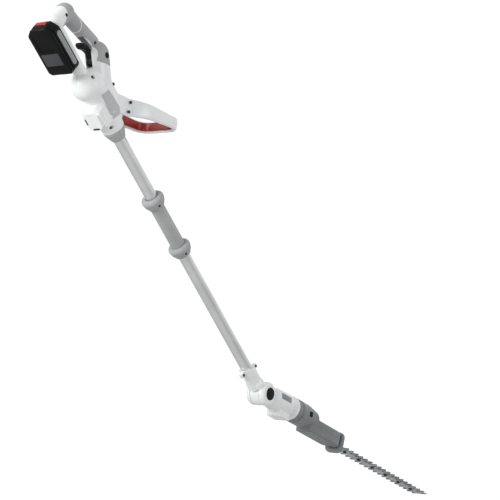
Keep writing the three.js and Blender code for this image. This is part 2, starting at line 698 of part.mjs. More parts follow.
// ---- motor housing --------------------------------------------------------------------------------------
const tiltAxis = [0, -axisRise];                     // where the tilt axis passes, in the head's frame
function motorForm(inset) {
  const r = motorRadius - inset;
  const barrel = turned([
    [motorRear + inset, 0], [motorRear + inset, r * 0.72], [motorRear + 10, r * 0.94],
    [motorRear + 24, r], [motorFront - gap, r], [motorFront - gap, 0],
  ]);
  const boxForm = sidePlate(roundedRectangle(
    motorBoxRear + inset, motorBoxFront - inset, -motorBoxDepth + inset, 0, 8,
  ), -motorBoxHalfWidth + inset, motorBoxHalfWidth - inset);
  return join(barrel, boxForm);
}
const knuckle = join(
  crossRod(tiltAxis, jointRadius - 0.5, -knuckleHalfWidth, knuckleHalfWidth, 28),
  box(0, motorRear + 8, -knuckleHalfWidth, knuckleHalfWidth, -20, 20),
);
const earSweep = crossRod(tiltAxis, jointRadius + 2, -far, far, 36)
  .subtract(crossRod(tiltAxis, far, -knuckleHalfWidth, knuckleHalfWidth, 36));
const motorRing = motorFront + ringLength;
const motorShell = join(motorForm(0), knuckle)
  .subtract(motorForm(wall))
  .subtract(earSweep)
  .subtract(crossRod(tiltAxis, tiltPinRadius + gap, -50, 50, 20))
  .subtract(rod(0, motorRear + 12, 5, 0, 12))
  .subtract(rod(motorFront - 6, motorFront + 1, motorRadius - wall));
put(head, 'motor_housing_left', motorShell.intersect(leftOf(gap / 2)), whiteShell);
put(head, 'motor_housing_right', motorShell.intersect(rightOf(-gap / 2)), whiteShell);
put(head, 'motor', join(
  rod(motorRear + 22, motorFront - 10, motorRadius - 6), rod(motorFront - 11, motorFront + 4, 9, 0, 20),
), darkGrey);
put(head, 'front_ring', turned([
  [motorFront, 12], [motorFront, ringRadius - 1.5], [motorFront + 2, ringRadius], [motorRing - 3, ringRadius],
  [motorRing, ringRadius - 2], [motorRing, 12], [motorFront, 12],
]), whiteShell);

// ---- gear case ------------------------------------------------------------------------------------------
const caseRear = motorRing + gap;
function gearForm(inset) {
  const r = gearCollarRadius - inset;
  const collar = turned([
    [caseRear + inset, 0], [caseRear + inset, r], [gearCollarFront, r - 1.5],
    [gearShoulderFront - inset, r - 5],
    [gearShoulderFront + 24 - inset, 9 - inset * 0.5], [gearShoulderFront + 24 - inset, 0],
  ]);
  const box3 = plate(roundedRectangle(
    gearBoxRear + inset, gearBoxFront - inset, -gearBoxHalfWidth + inset, gearBoxHalfWidth - inset, 16,
  ), gearBoxBottom + inset, gearBoxTop - inset);
  const tunnel = bar([gearShoulderFront, 0], [crownCentre + 30, -1], 15 - inset, tunnelRadius - inset, 12);
  return join(collar, box3, tunnel);
}
const slotBelow = 3.2;
const slotAbove = 6.4;
const bladeSlot = box(
  bladeRear - 10, gearBoxFront + 1, -16, 16, bladePlane - slotBelow, bladePlane + slotAbove,
);
const lockForm = (grow, y0, y1) => sidePlate(roundedRectangle(
  rotationButton[0] - buttonHalf - grow, rotationButton[0] + buttonHalf + grow,
  rotationButton[1] - buttonHalf - grow, rotationButton[1] + buttonHalf + grow, 3,
), y0, y1);
const lockWell = lockForm(0.5, -far, -gearCollarRadius + 16);
const gearShell = gearForm(0).subtract(gearForm(wall)).subtract(bladeSlot).subtract(lockWell)
  .subtract(rod(caseRear - 1, caseRear + 6, 10, 0, 20));
put(head, 'gear_case_upper', gearShell.intersect(above(caseSplit + gap / 2)), darkGrey);
put(head, 'gear_case_lower', gearShell.intersect(below(caseSplit - gap / 2)), darkGrey);
put(head, 'rotation_lock_button', lockForm(0, -gearCollarRadius - 1, -gearCollarRadius + 10), blackPlastic);

// crown gear and pinion: the pinion's pitch line meets the crown's teeth below the motor's axis
const pinionRadius = crownRadius * (pinionTeeth / crownTeeth);
const meshRadial = 1.5;                                  // half the length of tooth that meets
function pinion() {
  const x1 = crownCentre - crownRadius + meshRadial;
  const x0 = x1 - 2 * meshRadial;
  let gear = rod(motorFront + 4 + gap, x1, pinionRadius - toothHeight / 2, 0, 18);
  for (let i = 0; i < pinionTeeth; i += 1) {
    const tooth = box(
      x0, x1, -toothWidth / 2, toothWidth / 2, pinionRadius - 1.2, pinionRadius + toothHeight / 2 - 0.3,
    );
    gear = gear.add(tooth.rotate([(360 * i) / pinionTeeth, 0, 0]));
  }
  return gear;
}
put(head, 'drive_pinion', pinion(), steel);

function crownGear() {
  const pitchPlane = -pinionRadius;
  const rootPlane = pitchPlane - toothHeight / 2;
  let gear = join(
    post([0, 0], crownRadius + meshRadial + 0.4, rootPlane - 4, rootPlane, 28),
    post([0, 0], 6, rootPlane - 6.5, rootPlane, 16),
  );
  for (let i = 0; i < crownTeeth; i += 1) {
    const tooth = box(
      crownRadius - meshRadial, crownRadius + meshRadial, -toothWidth / 2, toothWidth / 2,
      rootPlane - 0.5, pitchPlane + toothHeight / 2 - 0.3,
    );
    gear = gear.add(tooth.rotate([0, 0, (360 * i) / crownTeeth]));
  }
  return gear.subtract(post([0, 0], crankShaftRadius + gap, -40, 40, 16)).translate([crownCentre, 0, 0]);
}
put(head, 'crank_gear', crownGear(), steel);
put(head, 'crank_shaft', post(
  [crownCentre, 0], crankShaftRadius, bladePlane + slotAbove + gap, gearBoxTop - wall - gap, 16,
), steel);

// ---- guard and blades -----------------------------------------------------------------------------------
const guardOutline = roundedRectangle(-guardHalfWidth, guardHalfWidth, guardBottom, guardTop, 15);
const guardGeometry = new THREE.ExtrudeGeometry(guardOutline, {
  depth: guardThick, bevelEnabled: false, curveSegments: 8,
});
guardGeometry.rotateX(Math.PI / 2);
guardGeometry.rotateZ(Math.PI / 2);
guardGeometry.translate(guardPosition, 0, 0);
const guardSlot = box(
  guardPosition - 1, guardPosition + guardThick + 1, -16, 16, bladePlane - slotBelow, bladePlane + slotAbove,
);
put(head, 'blade_guard', solid(guardGeometry).subtract(guardSlot), darkGrey);

/** A reciprocating blade: a spine with a row of pointed teeth on both edges. */
function bladeOutline() {
  const outline = new THREE.Shape();
  const edge = (side) => {
    const points = [];
    for (let i = 0; i < toothCount; i += 1) {
      const x = bladeToothStart + i * toothPitch;
      points.push([x + 4, side * bladeSpine], [x + 8.5, side * toothTipHalf],
        [x + 14, side * toothTipHalf], [x + 19, side * bladeSpine]);
    }
    points.push([bladeTip + 4, side * bladeSpine], [bladeTip + 8, side * (toothTipHalf - 3)]);
    return points;
  };
  outline.moveTo(bladeRear, -bladeSpine);
  edge(-1).forEach(([x, y]) => outline.lineTo(x, y));
  edge(1).reverse().forEach(([x, y]) => outline.lineTo(x, y));
  outline.lineTo(bladeRear, bladeSpine);
  return outline;
}
const boltX = (i) => bladeToothStart + toothPitch * 1.45 + i * boltPitch;
function blade(z0) {
  let shape = plate(bladeOutline(), z0, z0 + bladeThick);
  for (let i = 0; i < boltCount; i += 1) {
    const half = boltRadius + stroke + 1.4;
    const slot = roundedRectangle(boltX(i) - half, boltX(i) + half, -boltRadius - 0.8, boltRadius + 0.8, 3);
    shape = shape.subtract(plate(slot, z0 - 1, z0 + bladeThick + 1, 2));
  }
  return shape;
}
const lowerBladeZ = bladePlane - bladeThick - gap / 2;
const upperBladeZ = bladePlane + gap / 2;
put(head, 'upper_blade', blade(upperBladeZ), steel);
put(head, 'lower_blade', blade(lowerBladeZ), steel);
const barZ = upperBladeZ + bladeThick + gap;
const barThick = 2.4;
const guideEnd = bladeTip - 12;
let guideBar = plate(roundedRectangle(bladeRear + 18, guideEnd, -8.5, 8.5, 8), barZ, barZ + barThick);
for (let i = 0; i < boltCount; i += 1) {
  guideBar = guideBar.subtract(post([boltX(i), 0], boltRadius + gap, barZ - 1, barZ + barThick + 1));
}
put(head, 'guide_bar', guideBar, steel);
for (let i = 0; i < boltCount; i += 1) {
  const nutZ = lowerBladeZ - gap;
  put(head, `blade_bolt_${i + 1}`, join(
    post([boltX(i), 0], boltRadius, nutZ - 2, barZ + barThick + 2),
    post([boltX(i), 0], 4.6, nutZ - 2.6, nutZ, 6),
    post([boltX(i), 0], 4.4, barZ + barThick + gap, barZ + barThick + 2.4, 16),
  ), steel);
}

// ---- the row frame: bottom of the whole tool at Z = 0, middle of its box over the origin ----------------
hedgeTrimmer.updateMatrixWorld(true);
const bounds = new THREE.Box3().setFromObject(hedgeTrimmer, true);
tool.position.set(-(bounds.min.x + bounds.max.x) / 2, -(bounds.min.y + bounds.max.y) / 2, -bounds.min.z);
hedgeTrimmer.updateMatrixWorld(true);

export default hedgeTrimmer;
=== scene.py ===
import json
import math

import bmesh
import bpy
from mathutils import Matrix, Vector
from mathutils.bvhtree import BVHTree


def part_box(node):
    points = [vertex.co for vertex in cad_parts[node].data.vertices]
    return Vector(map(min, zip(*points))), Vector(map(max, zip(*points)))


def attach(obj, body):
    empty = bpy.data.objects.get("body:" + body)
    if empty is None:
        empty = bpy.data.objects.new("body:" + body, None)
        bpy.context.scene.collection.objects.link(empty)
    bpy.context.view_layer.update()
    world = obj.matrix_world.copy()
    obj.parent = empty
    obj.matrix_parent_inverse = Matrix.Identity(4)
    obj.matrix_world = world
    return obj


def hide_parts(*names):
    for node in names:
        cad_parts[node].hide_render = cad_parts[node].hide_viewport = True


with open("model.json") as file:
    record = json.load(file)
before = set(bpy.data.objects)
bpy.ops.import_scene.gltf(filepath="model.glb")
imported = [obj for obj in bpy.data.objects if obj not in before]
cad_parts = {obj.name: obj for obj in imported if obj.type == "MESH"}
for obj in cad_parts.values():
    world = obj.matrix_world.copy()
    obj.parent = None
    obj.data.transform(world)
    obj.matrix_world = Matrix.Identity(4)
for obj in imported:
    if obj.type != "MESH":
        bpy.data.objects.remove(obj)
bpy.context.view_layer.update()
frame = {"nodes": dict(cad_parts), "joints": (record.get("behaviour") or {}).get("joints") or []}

# ---- Camera, floor and studio light ------------------------------------------------------------------------
# A long lens looks up at the tool's right side from behind and below. Soft boxes stand round the camera, the
# broad one on its left, and the room behind the tool is brightly lit, as on a white sweep.
MM = 0.001
# Tool frame: millimetres from the front face of the pole's collar, on the pole's axis.
collar_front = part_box("pole_collar")[1][0]
pole_low, pole_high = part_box("upper_tube")
pole_height = (pole_low[2] + pole_high[2]) / 2
TOOL = Matrix.Translation((collar_front, 0, pole_height)) @ Matrix.Scale(MM, 4)

CAMERA_AT = Vector((-1435.0, -2018.0, -1999.0))
CAMERA_FORWARD = Vector((0.5457, 0.5655, 0.6183))
CAMERA_RIGHT = Vector((0.3874, -0.8247, 0.4124))
LENS = 105.23

camera_data = bpy.data.cameras.new("camera")
camera_data.lens = LENS
camera_data.sensor_width = 36
camera_data.clip_end = 60
camera = bpy.data.objects.new("camera", camera_data)
forward = CAMERA_FORWARD.normalized()
right = (CAMERA_RIGHT - CAMERA_RIGHT.dot(forward) * forward).normalized()
up = right.cross(forward)
turn = Matrix((right, up, -forward)).transposed().to_4x4()
camera.matrix_world = Matrix.Translation(TOOL @ CAMERA_AT) @ turn
bpy.context.collection.objects.link(camera)
bpy.context.scene.camera = camera


def linear(code):
    """An sRGB colour written as six hex digits, turned into linear RGBA."""
    channels = [int(code[i:i + 2], 16) / 255 for i in (0, 2, 4)]
    return [c / 12.92 if c <= 0.04045 else ((c + 0.055) / 1.055) ** 2.4 for c in channels] + [1.0]


def add(material, kind, values=None, links=None, **settings):
    """Adds one node to a material or a world, with its settings, its values and what links into it."""
    node = material.node_tree.nodes.new(kind)
    for name, value in settings.items():
        setattr(node, name, value)
    for socket, value in (values or {}).items():
        node.inputs[socket].default_value = value
    for socket, source in (links or {}).items():
        material.node_tree.links.new(source, node.inputs[socket])
    return node


def paint(ramp, *stops):
    """Sets a colour ramp's stops, each a position and a colour."""
    elements = ramp.color_ramp.elements
    while len(elements) < len(stops):
        elements.new(0.5)
    for element, (position, colour) in zip(elements, stops):
        element.position = position
        element.color = colour


def area_light(name, back, sideways, lift, size, power):
    """A soft box that faces the middle of the tool, placed by the camera's own directions."""
    data = bpy.data.lights.new(name, "AREA")
    data.size = size
    data.energy = power
    light = bpy.data.objects.new(name, data)
    aim = TOOL @ Vector((300, 0, 0))
    place = aim - forward * back + right * sideways + up * lift
    facing = (aim - place).to_track_quat("-Z", "Y").to_matrix().to_4x4()
    light.matrix_world = Matrix.Translation(place) @ facing
    bpy.context.collection.objects.link(light)


area_light("broad_box", 1.5, -1.9, 0.9, 1.3, 48)
area_light("side_box", 1.4, 2.2, 0.5, 0.8, 15)

# The sweep is white behind the tool, and greyer all round, darker below than above.
world = bpy.data.worlds.new("pale_room")
world.use_nodes = True
bpy.context.scene.world = world
room = add(world, "ShaderNodeTexCoord").outputs["Generated"]
height = add(world, "ShaderNodeSeparateXYZ", links={0: room})
shade = add(world, "ShaderNodeValToRGB", links={0: height.outputs["Z"]})
paint(shade, (0.0, linear("a0a2a3")), (0.8, linear("dddede")))
behind = add(world, "ShaderNodeVectorMath", {1: forward}, {0: room}, operation="DOT_PRODUCT")
spread = add(world, "ShaderNodeMapRange", {"From Min": 0.72, "From Max": 0.96},
             {"Value": behind.outputs["Value"]})
sweep = add(world, "ShaderNodeMix", {7: linear("ffffff")}, {0: spread.outputs[0], 6: shade.outputs[0]},
            data_type="RGBA")
background = world.node_tree.nodes["Background"]
world.node_tree.links.new(sweep.outputs[2], background.inputs["Color"])
background.inputs["Strength"].default_value = 1.05
bpy.context.scene.view_settings.view_transform = "Standard"

FLOOR_DROP, FLOOR_HALF = 2.7, 9.0
floor_mesh = bpy.data.meshes.new("floor")
floor_mesh.from_pydata(
    [(x * FLOOR_HALF, y * FLOOR_HALF, -FLOOR_DROP) for x, y in ((-1, -1), (1, -1), (1, 1), (-1, 1))],
    [], [(0, 1, 2, 3)],
)
floor = bpy.data.objects.new("floor", floor_mesh)
bpy.context.collection.objects.link(floor)
floor_paint = bpy.data.materials.new("matt_pale_paint")
floor_paint.use_nodes = True
floor_surface = floor_paint.node_tree.nodes["Principled BSDF"]
floor_surface.inputs["Base Color"].default_value = linear("dcdcda")
floor_surface.inputs["Roughness"].default_value = 0.9
floor_mesh.materials.append(floor_paint)

# ---- Handle casing -----------------------------------------------------------------------------------------
# Two injection-moulded ABS halves, screwed together along the middle: closed grip, battery seat, round bulb
# and body in one flowing skin. The bars and balls that make it up are melted into one surface.
GRIP_REAR, GRIP_FRONT = (-300, 40), (-206, 67)
GRIP_HALF_WIDTH, GRIP_HALF_HEIGHT = 15.5, 16
COLUMN_FOOT = (-304, -4)
STRUT_FRONT = (-168, -6)
POD = (-176, 63)
BULB = (-146, -5)
BODY_REAR, BODY_FRONT = (-112, 15), (-70, 12)
THROAT = (-114, 22)
CASING_VOXEL = 1.15


def capsule(start, end, half_width, half_height, rings=24):
    """A bar with round ends between two points of the side view, with an elliptical section."""
    span = math.hypot(end[0] - start[0], end[1] - start[1])
    bm = bmesh.new()
    bmesh.ops.create_uvsphere(bm, u_segments=48, v_segments=rings, radius=half_height)
    for v in bm.verts:
        x, y, z = v.co.z, v.co.x, v.co.y
        v.co = (x + math.copysign(span / 2, x), y * half_width / half_height, z)
    lean = math.atan2(end[1] - start[1], end[0] - start[0])
    middle = Matrix.Translation(((start[0] + end[0]) / 2, 0, (start[1] + end[1]) / 2))
    bm.transform(middle @ Matrix.Rotation(-lean, 4, "Y"))
    return bm


def ball(centre, radius, half_width=None):
    return capsule((centre[0] - 0.05, centre[1]), (centre[0] + 0.05, centre[1]), half_width or radius, radius)


def lathe(profile, steps=96, place=Matrix()):
    """Turns a profile of (x, radius) points round the X axis; it closes on the axis or on itself."""
    bm = bmesh.new()
    closed = profile[0] == profile[-1]
    points = profile[:-1] if closed else profile
    rings = []
    for x, radius in points:
        if radius < 1e-6:
            rings.append([bm.verts.new((x, 0, 0))])
            continue
        turns = [2 * math.pi * i / steps for i in range(steps)]
        rings.append([bm.verts.new((x, radius * math.cos(t), radius * math.sin(t))) for t in turns])
    pairs = list(zip(rings, rings[1:])) + ([(rings[-1], rings[0])] if closed else [])
    for a, b in pairs:
        for i in range(steps):
            j = (i + 1) % steps
            corners = [a[i % len(a)], a[j % len(a)], b[j % len(b)], b[i % len(b)]]
            unique = list(dict.fromkeys(corners))
            if len(unique) > 2:
                bm.faces.new(unique)
    bmesh.ops.recalc_face_normals(bm, faces=bm.faces)
    bm.transform(place)
    return bm


def prism(outline, low, high, across="Z"):
    """Extrudes an outline: drawn in plan and raised along Z, or drawn in side view and run across along Y."""
    bm = bmesh.new()

    def corner(point, level):
        return (point[0], level, point[1]) if across == "Y" else (point[0], point[1], level)

    base = [bm.verts.new(corner(p, low)) for p in outline]
    top = [bm.verts.new(corner(p, high)) for p in outline]
    bm.faces.new(base)
    bm.faces.new(top)
    for i in range(len(outline)):
        j = (i + 1) % len(outline)
        bm.faces.new((base[i], base[j], top[j], top[i]))
    bmesh.ops.recalc_face_normals(bm, faces=bm.faces)
    return bm


def block(x0, x1, y0, y1, z0, z1):
    return prism([(x0, y0), (x1, y0), (x1, y1), (x0, y1)], z0, z1)


def rounded(x0, x1, y0, y1, radius, steps=8):
    """The outline of a rectangle with round corners."""
    outline = []
    for cx, cy, first in ((x1 - radius, y0 + radius, -90), (x1 - radius, y1 - radius, 0),
                          (x0 + radius, y1 - radius, 90), (x0 + radius, y0 + radius, 180)):
        for i in range(steps + 1):
            t = math.radians(first + 90 * i / steps)
            outline.append((cx + radius * math.cos(t), cy + radius * math.sin(t)))
    return outline


def chamfered(x0, x1, y0, y1, front, rear):
    """The outline of a rectangle with its corners cut off, by other amounts at the front and the rear."""
    return [(x0 + rear, y0), (x1 - front, y0), (x1, y0 + front), (x1, y1 - front),
            (x1 - front, y1), (x0 + rear, y1), (x0, y1 - rear), (x0, y0 + rear)]


def solid(name, *shapes):
    """One object from one or more closed shapes."""
    whole = bmesh.new()
    for shape in shapes:
        scratch = bpy.data.meshes.new("scratch")
        shape.to_mesh(scratch)
        whole.from_mesh(scratch)
        bpy.data.meshes.remove(scratch)
    mesh = bpy.data.meshes.new(name)
    whole.to_mesh(mesh)
    piece = bpy.data.objects.new(name, mesh)
    bpy.context.collection.objects.link(piece)
    return piece


def apply_modifiers(piece):
    """Replaces a piece's mesh by what its modifiers make of it."""
    shown = piece.evaluated_get(bpy.context.evaluated_depsgraph_get())
    mesh = bpy.data.meshes.new_from_object(shown)
    piece.modifiers.clear()
    piece.data = mesh
    return piece


def melt(piece, voxel, rounds):
    """Melts overlapping shapes into one skin and smooths it, which leaves a soft fillet where they meet."""
    remesh = piece.modifiers.new("melt", "REMESH")
    remesh.mode = "VOXEL"
    remesh.voxel_size = voxel
    smooth = piece.modifiers.new("smooth", "SMOOTH")
    smooth.factor = 0.5
    smooth.iterations = rounds
    return apply_modifiers(piece)


def carve(piece, other, operation="DIFFERENCE"):
    """Cuts a piece with another one, which is used up."""
    cut = piece.modifiers.new("cut", "BOOLEAN")
    cut.operation = operation
    cut.solver = "MANIFOLD"
    cut.object = other
    apply_modifiers(piece)
    bpy.data.objects.remove(other)
    return piece


def cut(piece, shape, operation="DIFFERENCE"):
    """Cuts a piece with a closed shape."""
    return carve(piece, solid("cutter", shape), operation)


def copy_of(piece, name):
    twin = bpy.data.objects.new(name, piece.data.copy())
    bpy.context.collection.objects.link(twin)
    return twin


def swell(piece, amount):
    """Moves a piece's skin outwards by an amount."""
    push = piece.modifiers.new("swell", "DISPLACE")
    push.strength = amount
    push.mid_level = 0
    return apply_modifiers(piece)


def soften(piece, width, segments=3, limit=35):
    bevel = piece.modifiers.new("soften", "BEVEL")
    bevel.width = width
    bevel.segments = segments
    bevel.limit_method = "ANGLE"
    bevel.angle_limit = math.radians(limit)
    bevel.harden_normals = False
    return apply_modifiers(piece)


def dress(piece, place, material, crease=32):
    """Puts a finished mesh in its place, gives it its material and shades it smooth between its edges."""
    piece.data.transform(place)
    piece.data.materials.clear()
    piece.data.materials.append(material)
    piece.data.shade_smooth()
    piece.data.set_sharp_from_angle(angle=math.radians(crease))
    return piece


def plastic(name, colours, roughness, grain, relief, coat=0.0, shine=0.5):
    """A moulded plastic: two close tones in soft clouds, and the fine grain that the mould's steel leaves."""
    material = bpy.data.materials.new(name)
    material.use_nodes = True
    surface = material.node_tree.nodes["Principled BSDF"]
    space = add(material, "ShaderNodeTexCoord").outputs["Object"]
    clouds = add(material, "ShaderNodeTexNoise", {"Scale": 14.0, "Detail": 3.0}, {"Vector": space})
    tones = add(material, "ShaderNodeValToRGB", links={0: clouds.outputs["Fac"]})
    paint(tones, (0.35, linear(colours[0])), (0.68, linear(colours[1])))
    spark = add(material, "ShaderNodeTexNoise", {"Scale": 1 / (grain * MM), "Detail": 2.0}, {"Vector": space})
    scuffs = add(material, "ShaderNodeTexNoise", {"Scale": 60.0, "Detail": 6.0, "Roughness": 0.7},
                 {"Vector": space})
    gloss = add(material, "ShaderNodeMapRange", {"To Min": roughness[0], "To Max": roughness[1]},
                {"Value": scuffs.outputs["Fac"]})
    bump = add(material, "ShaderNodeBump", {"Strength": relief, "Distance": 0.05 * MM},
               {"Height": spark.outputs["Fac"]})
    links = material.node_tree.links
    links.new(tones.outputs[0], surface.inputs["Base Color"])
    links.new(gloss.outputs[0], surface.inputs["Roughness"])
    links.new(bump.outputs[0], surface.inputs["Normal"])
    surface.inputs["IOR"].default_value = 1.53
    surface.inputs["Specular IOR Level"].default_value = shine
    surface.inputs["Coat Weight"].default_value = coat
    surface.inputs["Coat Roughness"].default_value = 0.2
    return material


# White ABS with a satin mould finish: even, slightly cool, with soft highlights.
white_abs = plastic("white_moulded_abs", ("e9ebec", "f3f4f4"), (0.30, 0.42), 0.9, 0.25)
# Grey TPE, moulded over the ABS: matt and slightly darker where hands rub it.
grey_tpe = plastic("grey_overmoulded_tpe", ("a2a3a4", "b3b4b5"), (0.62, 0.78), 0.7, 0.9)
# Black glass-filled nylon with a spark-eroded grain: deep, dull, with a faint sheen.
black_nylon = plastic("black_glass_filled_nylon", ("060607", "0d0d0e"), (0.36, 0.5), 0.8, 0.6, shine=0.14)
# Red ABS, glossier than the casing.
red_abs = plastic("red_moulded_abs", ("8e130c", "a81c12"), (0.28, 0.40), 0.9, 0.25)
# Dark grey glass-filled nylon of the gear case: a little mottled by the fibres at its skin.
gear_nylon = plastic("dark_grey_glass_filled_nylon", ("76787a", "8a8c8e"), (0.45, 0.60), 0.8, 0.7)

# The raised saddle that the loop handle's arms are screwed to leans forward with the loop.
LOOP_LEAN = 36.5
LOOP_FOOT = Vector((-50, 0, 41))
LOOP_ROOT = 22
LEAN = Matrix.Translation(LOOP_FOOT) @ Matrix.Rotation(-math.radians(LOOP_LEAN), 4, "Y")
saddle = block(-LOOP_ROOT - 4, 4, -23.7, 23.7, -15, 19)
saddle.transform(LEAN)

casing = solid(
    "casing",
    capsule(GRIP_REAR, GRIP_FRONT, GRIP_HALF_WIDTH, GRIP_HALF_HEIGHT),
    capsule(GRIP_REAR, COLUMN_FOOT, 20, 19),
    capsule(COLUMN_FOOT, STRUT_FRONT, 17, 12.5),
    ball(POD, 29, 23),
    capsule(POD, THROAT, 25, 29),
    ball(BULB, 36),
    capsule(BODY_REAR, BODY_FRONT, 31, 41),
    lathe([(-70, 0), (-70, 31), (-26.3, 25), (-26.3, 0)]),
    prism(chamfered(-106, -50, -25, 25, 9, 9), -39, -15),
    prism(chamfered(-101, -55, -20, 20, 9, 9), -45, -15),
    saddle,
)
melt(casing, CASING_VOXEL, 9)

# It is cut for the trigger, the screw heads, the lock-off button, the belly's slots and the pole.
TRIGGER_PIVOT = (-172, 46)
pocket = prism(rounded(-236, -165, 18, 60, 6), -8.5, 8.5, across="Y")
cut(casing, pocket)
SCREW_PLACES = [(-303, 22), (-206, 62), (-166, -8), (-113, 40), (-44, -20)]
SCREW_SEAT = [17, 13, 24, 24, 13]
SCREW_RECESS_R = 3.9


def across(x, z, radius, y0, y1, steps=32):
    """A round bar across the tool."""
    turn = Matrix.Translation((x, 0, z)) @ Matrix.Rotation(math.radians(90), 4, "Z")
    return lathe([(y0, 0), (y0, radius), (y1, radius), (y1, 0)], steps, turn)


for (x, z), seat in zip(SCREW_PLACES, SCREW_SEAT):
    cut(casing, across(x, z, SCREW_RECESS_R, -60, -seat + 0.3))
LOCK_OFF, LOCK_OFF_R = (-170, 65), 6.6
cut(casing, across(*LOCK_OFF, LOCK_OFF_R + 0.5, -60, -16))
SLOT_Z = -36
cut(casing, block(-87, -69, 18, 60, SLOT_Z - 2.5, SLOT_Z + 2.5))
cut(casing, block(-57, -40, -9, 9, SLOT_Z - 2.5, SLOT_Z + 2.5))
SLOT_FLOOR = -41.5
cut(casing, block(-86, -70, 14.5, 19.5, -60, SLOT_FLOOR))
cut(casing, block(-61, -55, -9, 9, -60, SLOT_FLOOR))
POLE_BORE = 14.4
cut(casing, lathe([(-60, 0), (-60, POLE_BORE), (0, POLE_BORE), (0, 0)]))

# The soft grip covers the top of the handle and the pod over the trigger.
GRIP_EDGE = [
    (-340, 36), (-318, 35), (-304, 28), (-294, 14), (-287, 8), (-246, 20), (-240, 37), (-230, 47),
    (-218, 53), (-205, 55), (-193, 53), (-183, 46), (-177, 38), (-168, 43), (-146, 60), (-131, 80),
    (-131, 120), (-340, 120),
]
PAD_EDGE = [
    (-340, 36), (-318, 35), (-304, 28), (-294, 14), (-287, 8), (-252, 14), (-250, 30), (-252, 41),
    (-258, 48.5), (-268, 53), (-286, 55), (-292, 75), (-340, 75),
]
TRIM_EDGE = [
    (-252, 14), (-250, 30), (-252, 41), (-258, 48.5), (-268, 53), (-286, 55), (-292, 75),
    (-290, 75), (-284.2, 56.8), (-267, 54.8), (-256.7, 50), (-250.2, 41.6), (-248.2, 30), (-250, 14),
]


def slab(outline):
    """An outline of the side view, cut right through the handle."""
    return prism(outline, -50, 50, "Y")


pad = cut(swell(copy_of(casing, "grip_pad_cover"), 0.9), slab(PAD_EDGE), "INTERSECT")
trim = cut(swell(copy_of(casing, "grip_trim"), 1.1), slab(TRIM_EDGE), "INTERSECT")
cover = cut(swell(copy_of(casing, "grip_cover"), 0.5), slab(GRIP_EDGE), "INTERSECT")
cut(cover, slab(PAD_EDGE))
cut(cover, slab(TRIM_EDGE))
cut(casing, slab(GRIP_EDGE))

dress(cover, TOOL, grey_tpe)
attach(cover, "handle")
dress(pad, TOOL, grey_tpe)
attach(pad, "handle")
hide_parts("grip_pad")
dress(trim, TOOL, white_abs)
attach(trim, "handle")

# The casing's skin is kept for fitting labels to it before it is split into its halves.
casing_skin = BVHTree.FromObject(casing, bpy.context.evaluated_depsgraph_get())
SEAM = 0.15
casing_left = cut(copy_of(casing, "casing_left"), block(-400, 50, SEAM, 90, -90, 150), "INTERSECT")
dress(casing_left, TOOL, white_abs)
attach(casing_left, "handle")
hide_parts("housing_left")
casing_right = cut(casing, block(-400, 50, -90, -SEAM, -90, 150), "INTERSECT")
casing_right.name = "casing_right"
dress(casing_right, TOOL, white_abs)
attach(casing_right, "handle")
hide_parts("housing_right")

# The belly's two slots have thin black liners at their backs and floors, a painted shadow for their dark
# insides, and the battery's T-rail hangs under the strut.
# These black sheets are painted shade: the slots' darkness comes from these liners, not from the slots'
# depth.
slots = solid("belly_slots", block(-86.5, -69.5, 17, 19, SLOT_Z - 2.2, SLOT_Z + 2.2),
              block(-58, -56, -8.5, 8.5, SLOT_Z - 2.2, SLOT_Z + 2.2),
              block(-85.8, -70.2, 14.7, 19.3, SLOT_FLOOR - 0.8, SLOT_FLOOR + 1),
              block(-60.8, -55.2, -8.8, 8.8, SLOT_FLOOR - 0.8, SLOT_FLOOR + 1))
dress(slots, TOOL, black_nylon)
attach(slots, "handle")
BATTERY_REAR, BATTERY_FRONT = -322, -209
BATTERY_TOP, BATTERY_BOTTOM = -25, -56
RAIL_TOP = BATTERY_TOP - 3
rail = solid("battery_rail", block(BATTERY_REAR + 14, BATTERY_FRONT - 1, -14, 14, RAIL_TOP, -12),
             block(BATTERY_REAR + 14, BATTERY_FRONT - 1, -19, 19, RAIL_TOP - 5, RAIL_TOP))
soften(rail, 0.6, 2)
dress(rail, TOOL, white_abs)
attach(rail, "handle")


def steel(name, colours, roughness, stretch, relief):
    """A drawn or ground metal: fine lines along one direction, from the stretch of its noise."""
    material = bpy.data.materials.new(name)
    material.use_nodes = True
    surface = material.node_tree.nodes["Principled BSDF"]
    space = add(material, "ShaderNodeTexCoord").outputs["Object"]
    scaled = add(material, "ShaderNodeMapping", {"Scale": stretch}, {"Vector": space})
    lines = add(material, "ShaderNodeTexNoise", {"Scale": 1.0, "Detail": 4.0, "Roughness": 0.65},
                {"Vector": scaled.outputs[0]})
    stains = add(material, "ShaderNodeTexNoise", {"Scale": 22.0, "Detail": 4.0}, {"Vector": space})
    tones = add(material, "ShaderNodeValToRGB", links={0: stains.outputs["Fac"]})
    paint(tones, (0.35, linear(colours[0])), (0.65, linear(colours[1])))
    gloss = add(material, "ShaderNodeMapRange", {"To Min": roughness[0], "To Max": roughness[1]},
                {"Value": lines.outputs["Fac"]})
    bump = add(material, "ShaderNodeBump", {"Strength": relief, "Distance": 0.03 * MM},
               {"Height": lines.outputs["Fac"]})
    links = material.node_tree.links
    links.new(tones.outputs[0], surface.inputs["Base Color"])
    links.new(gloss.outputs[0], surface.inputs["Roughness"])
    links.new(bump.outputs[0], surface.inputs["Normal"])
    surface.inputs["Metallic"].default_value = 1.0
    return material


# Zinc-plated, black-passivated screw steel.
screw_steel = steel("black_zinc_screw_steel", ("3a3b3d", "4a4b4e"), (0.35, 0.5), (900, 900, 900), 0.2)
# Plain ground steel of inner gears, pins and the blade's bar.
plain_steel = steel("plain_ground_steel", ("8b8d90", "a2a4a7"), (0.30, 0.45), (150, 1600, 1600), 0.4)

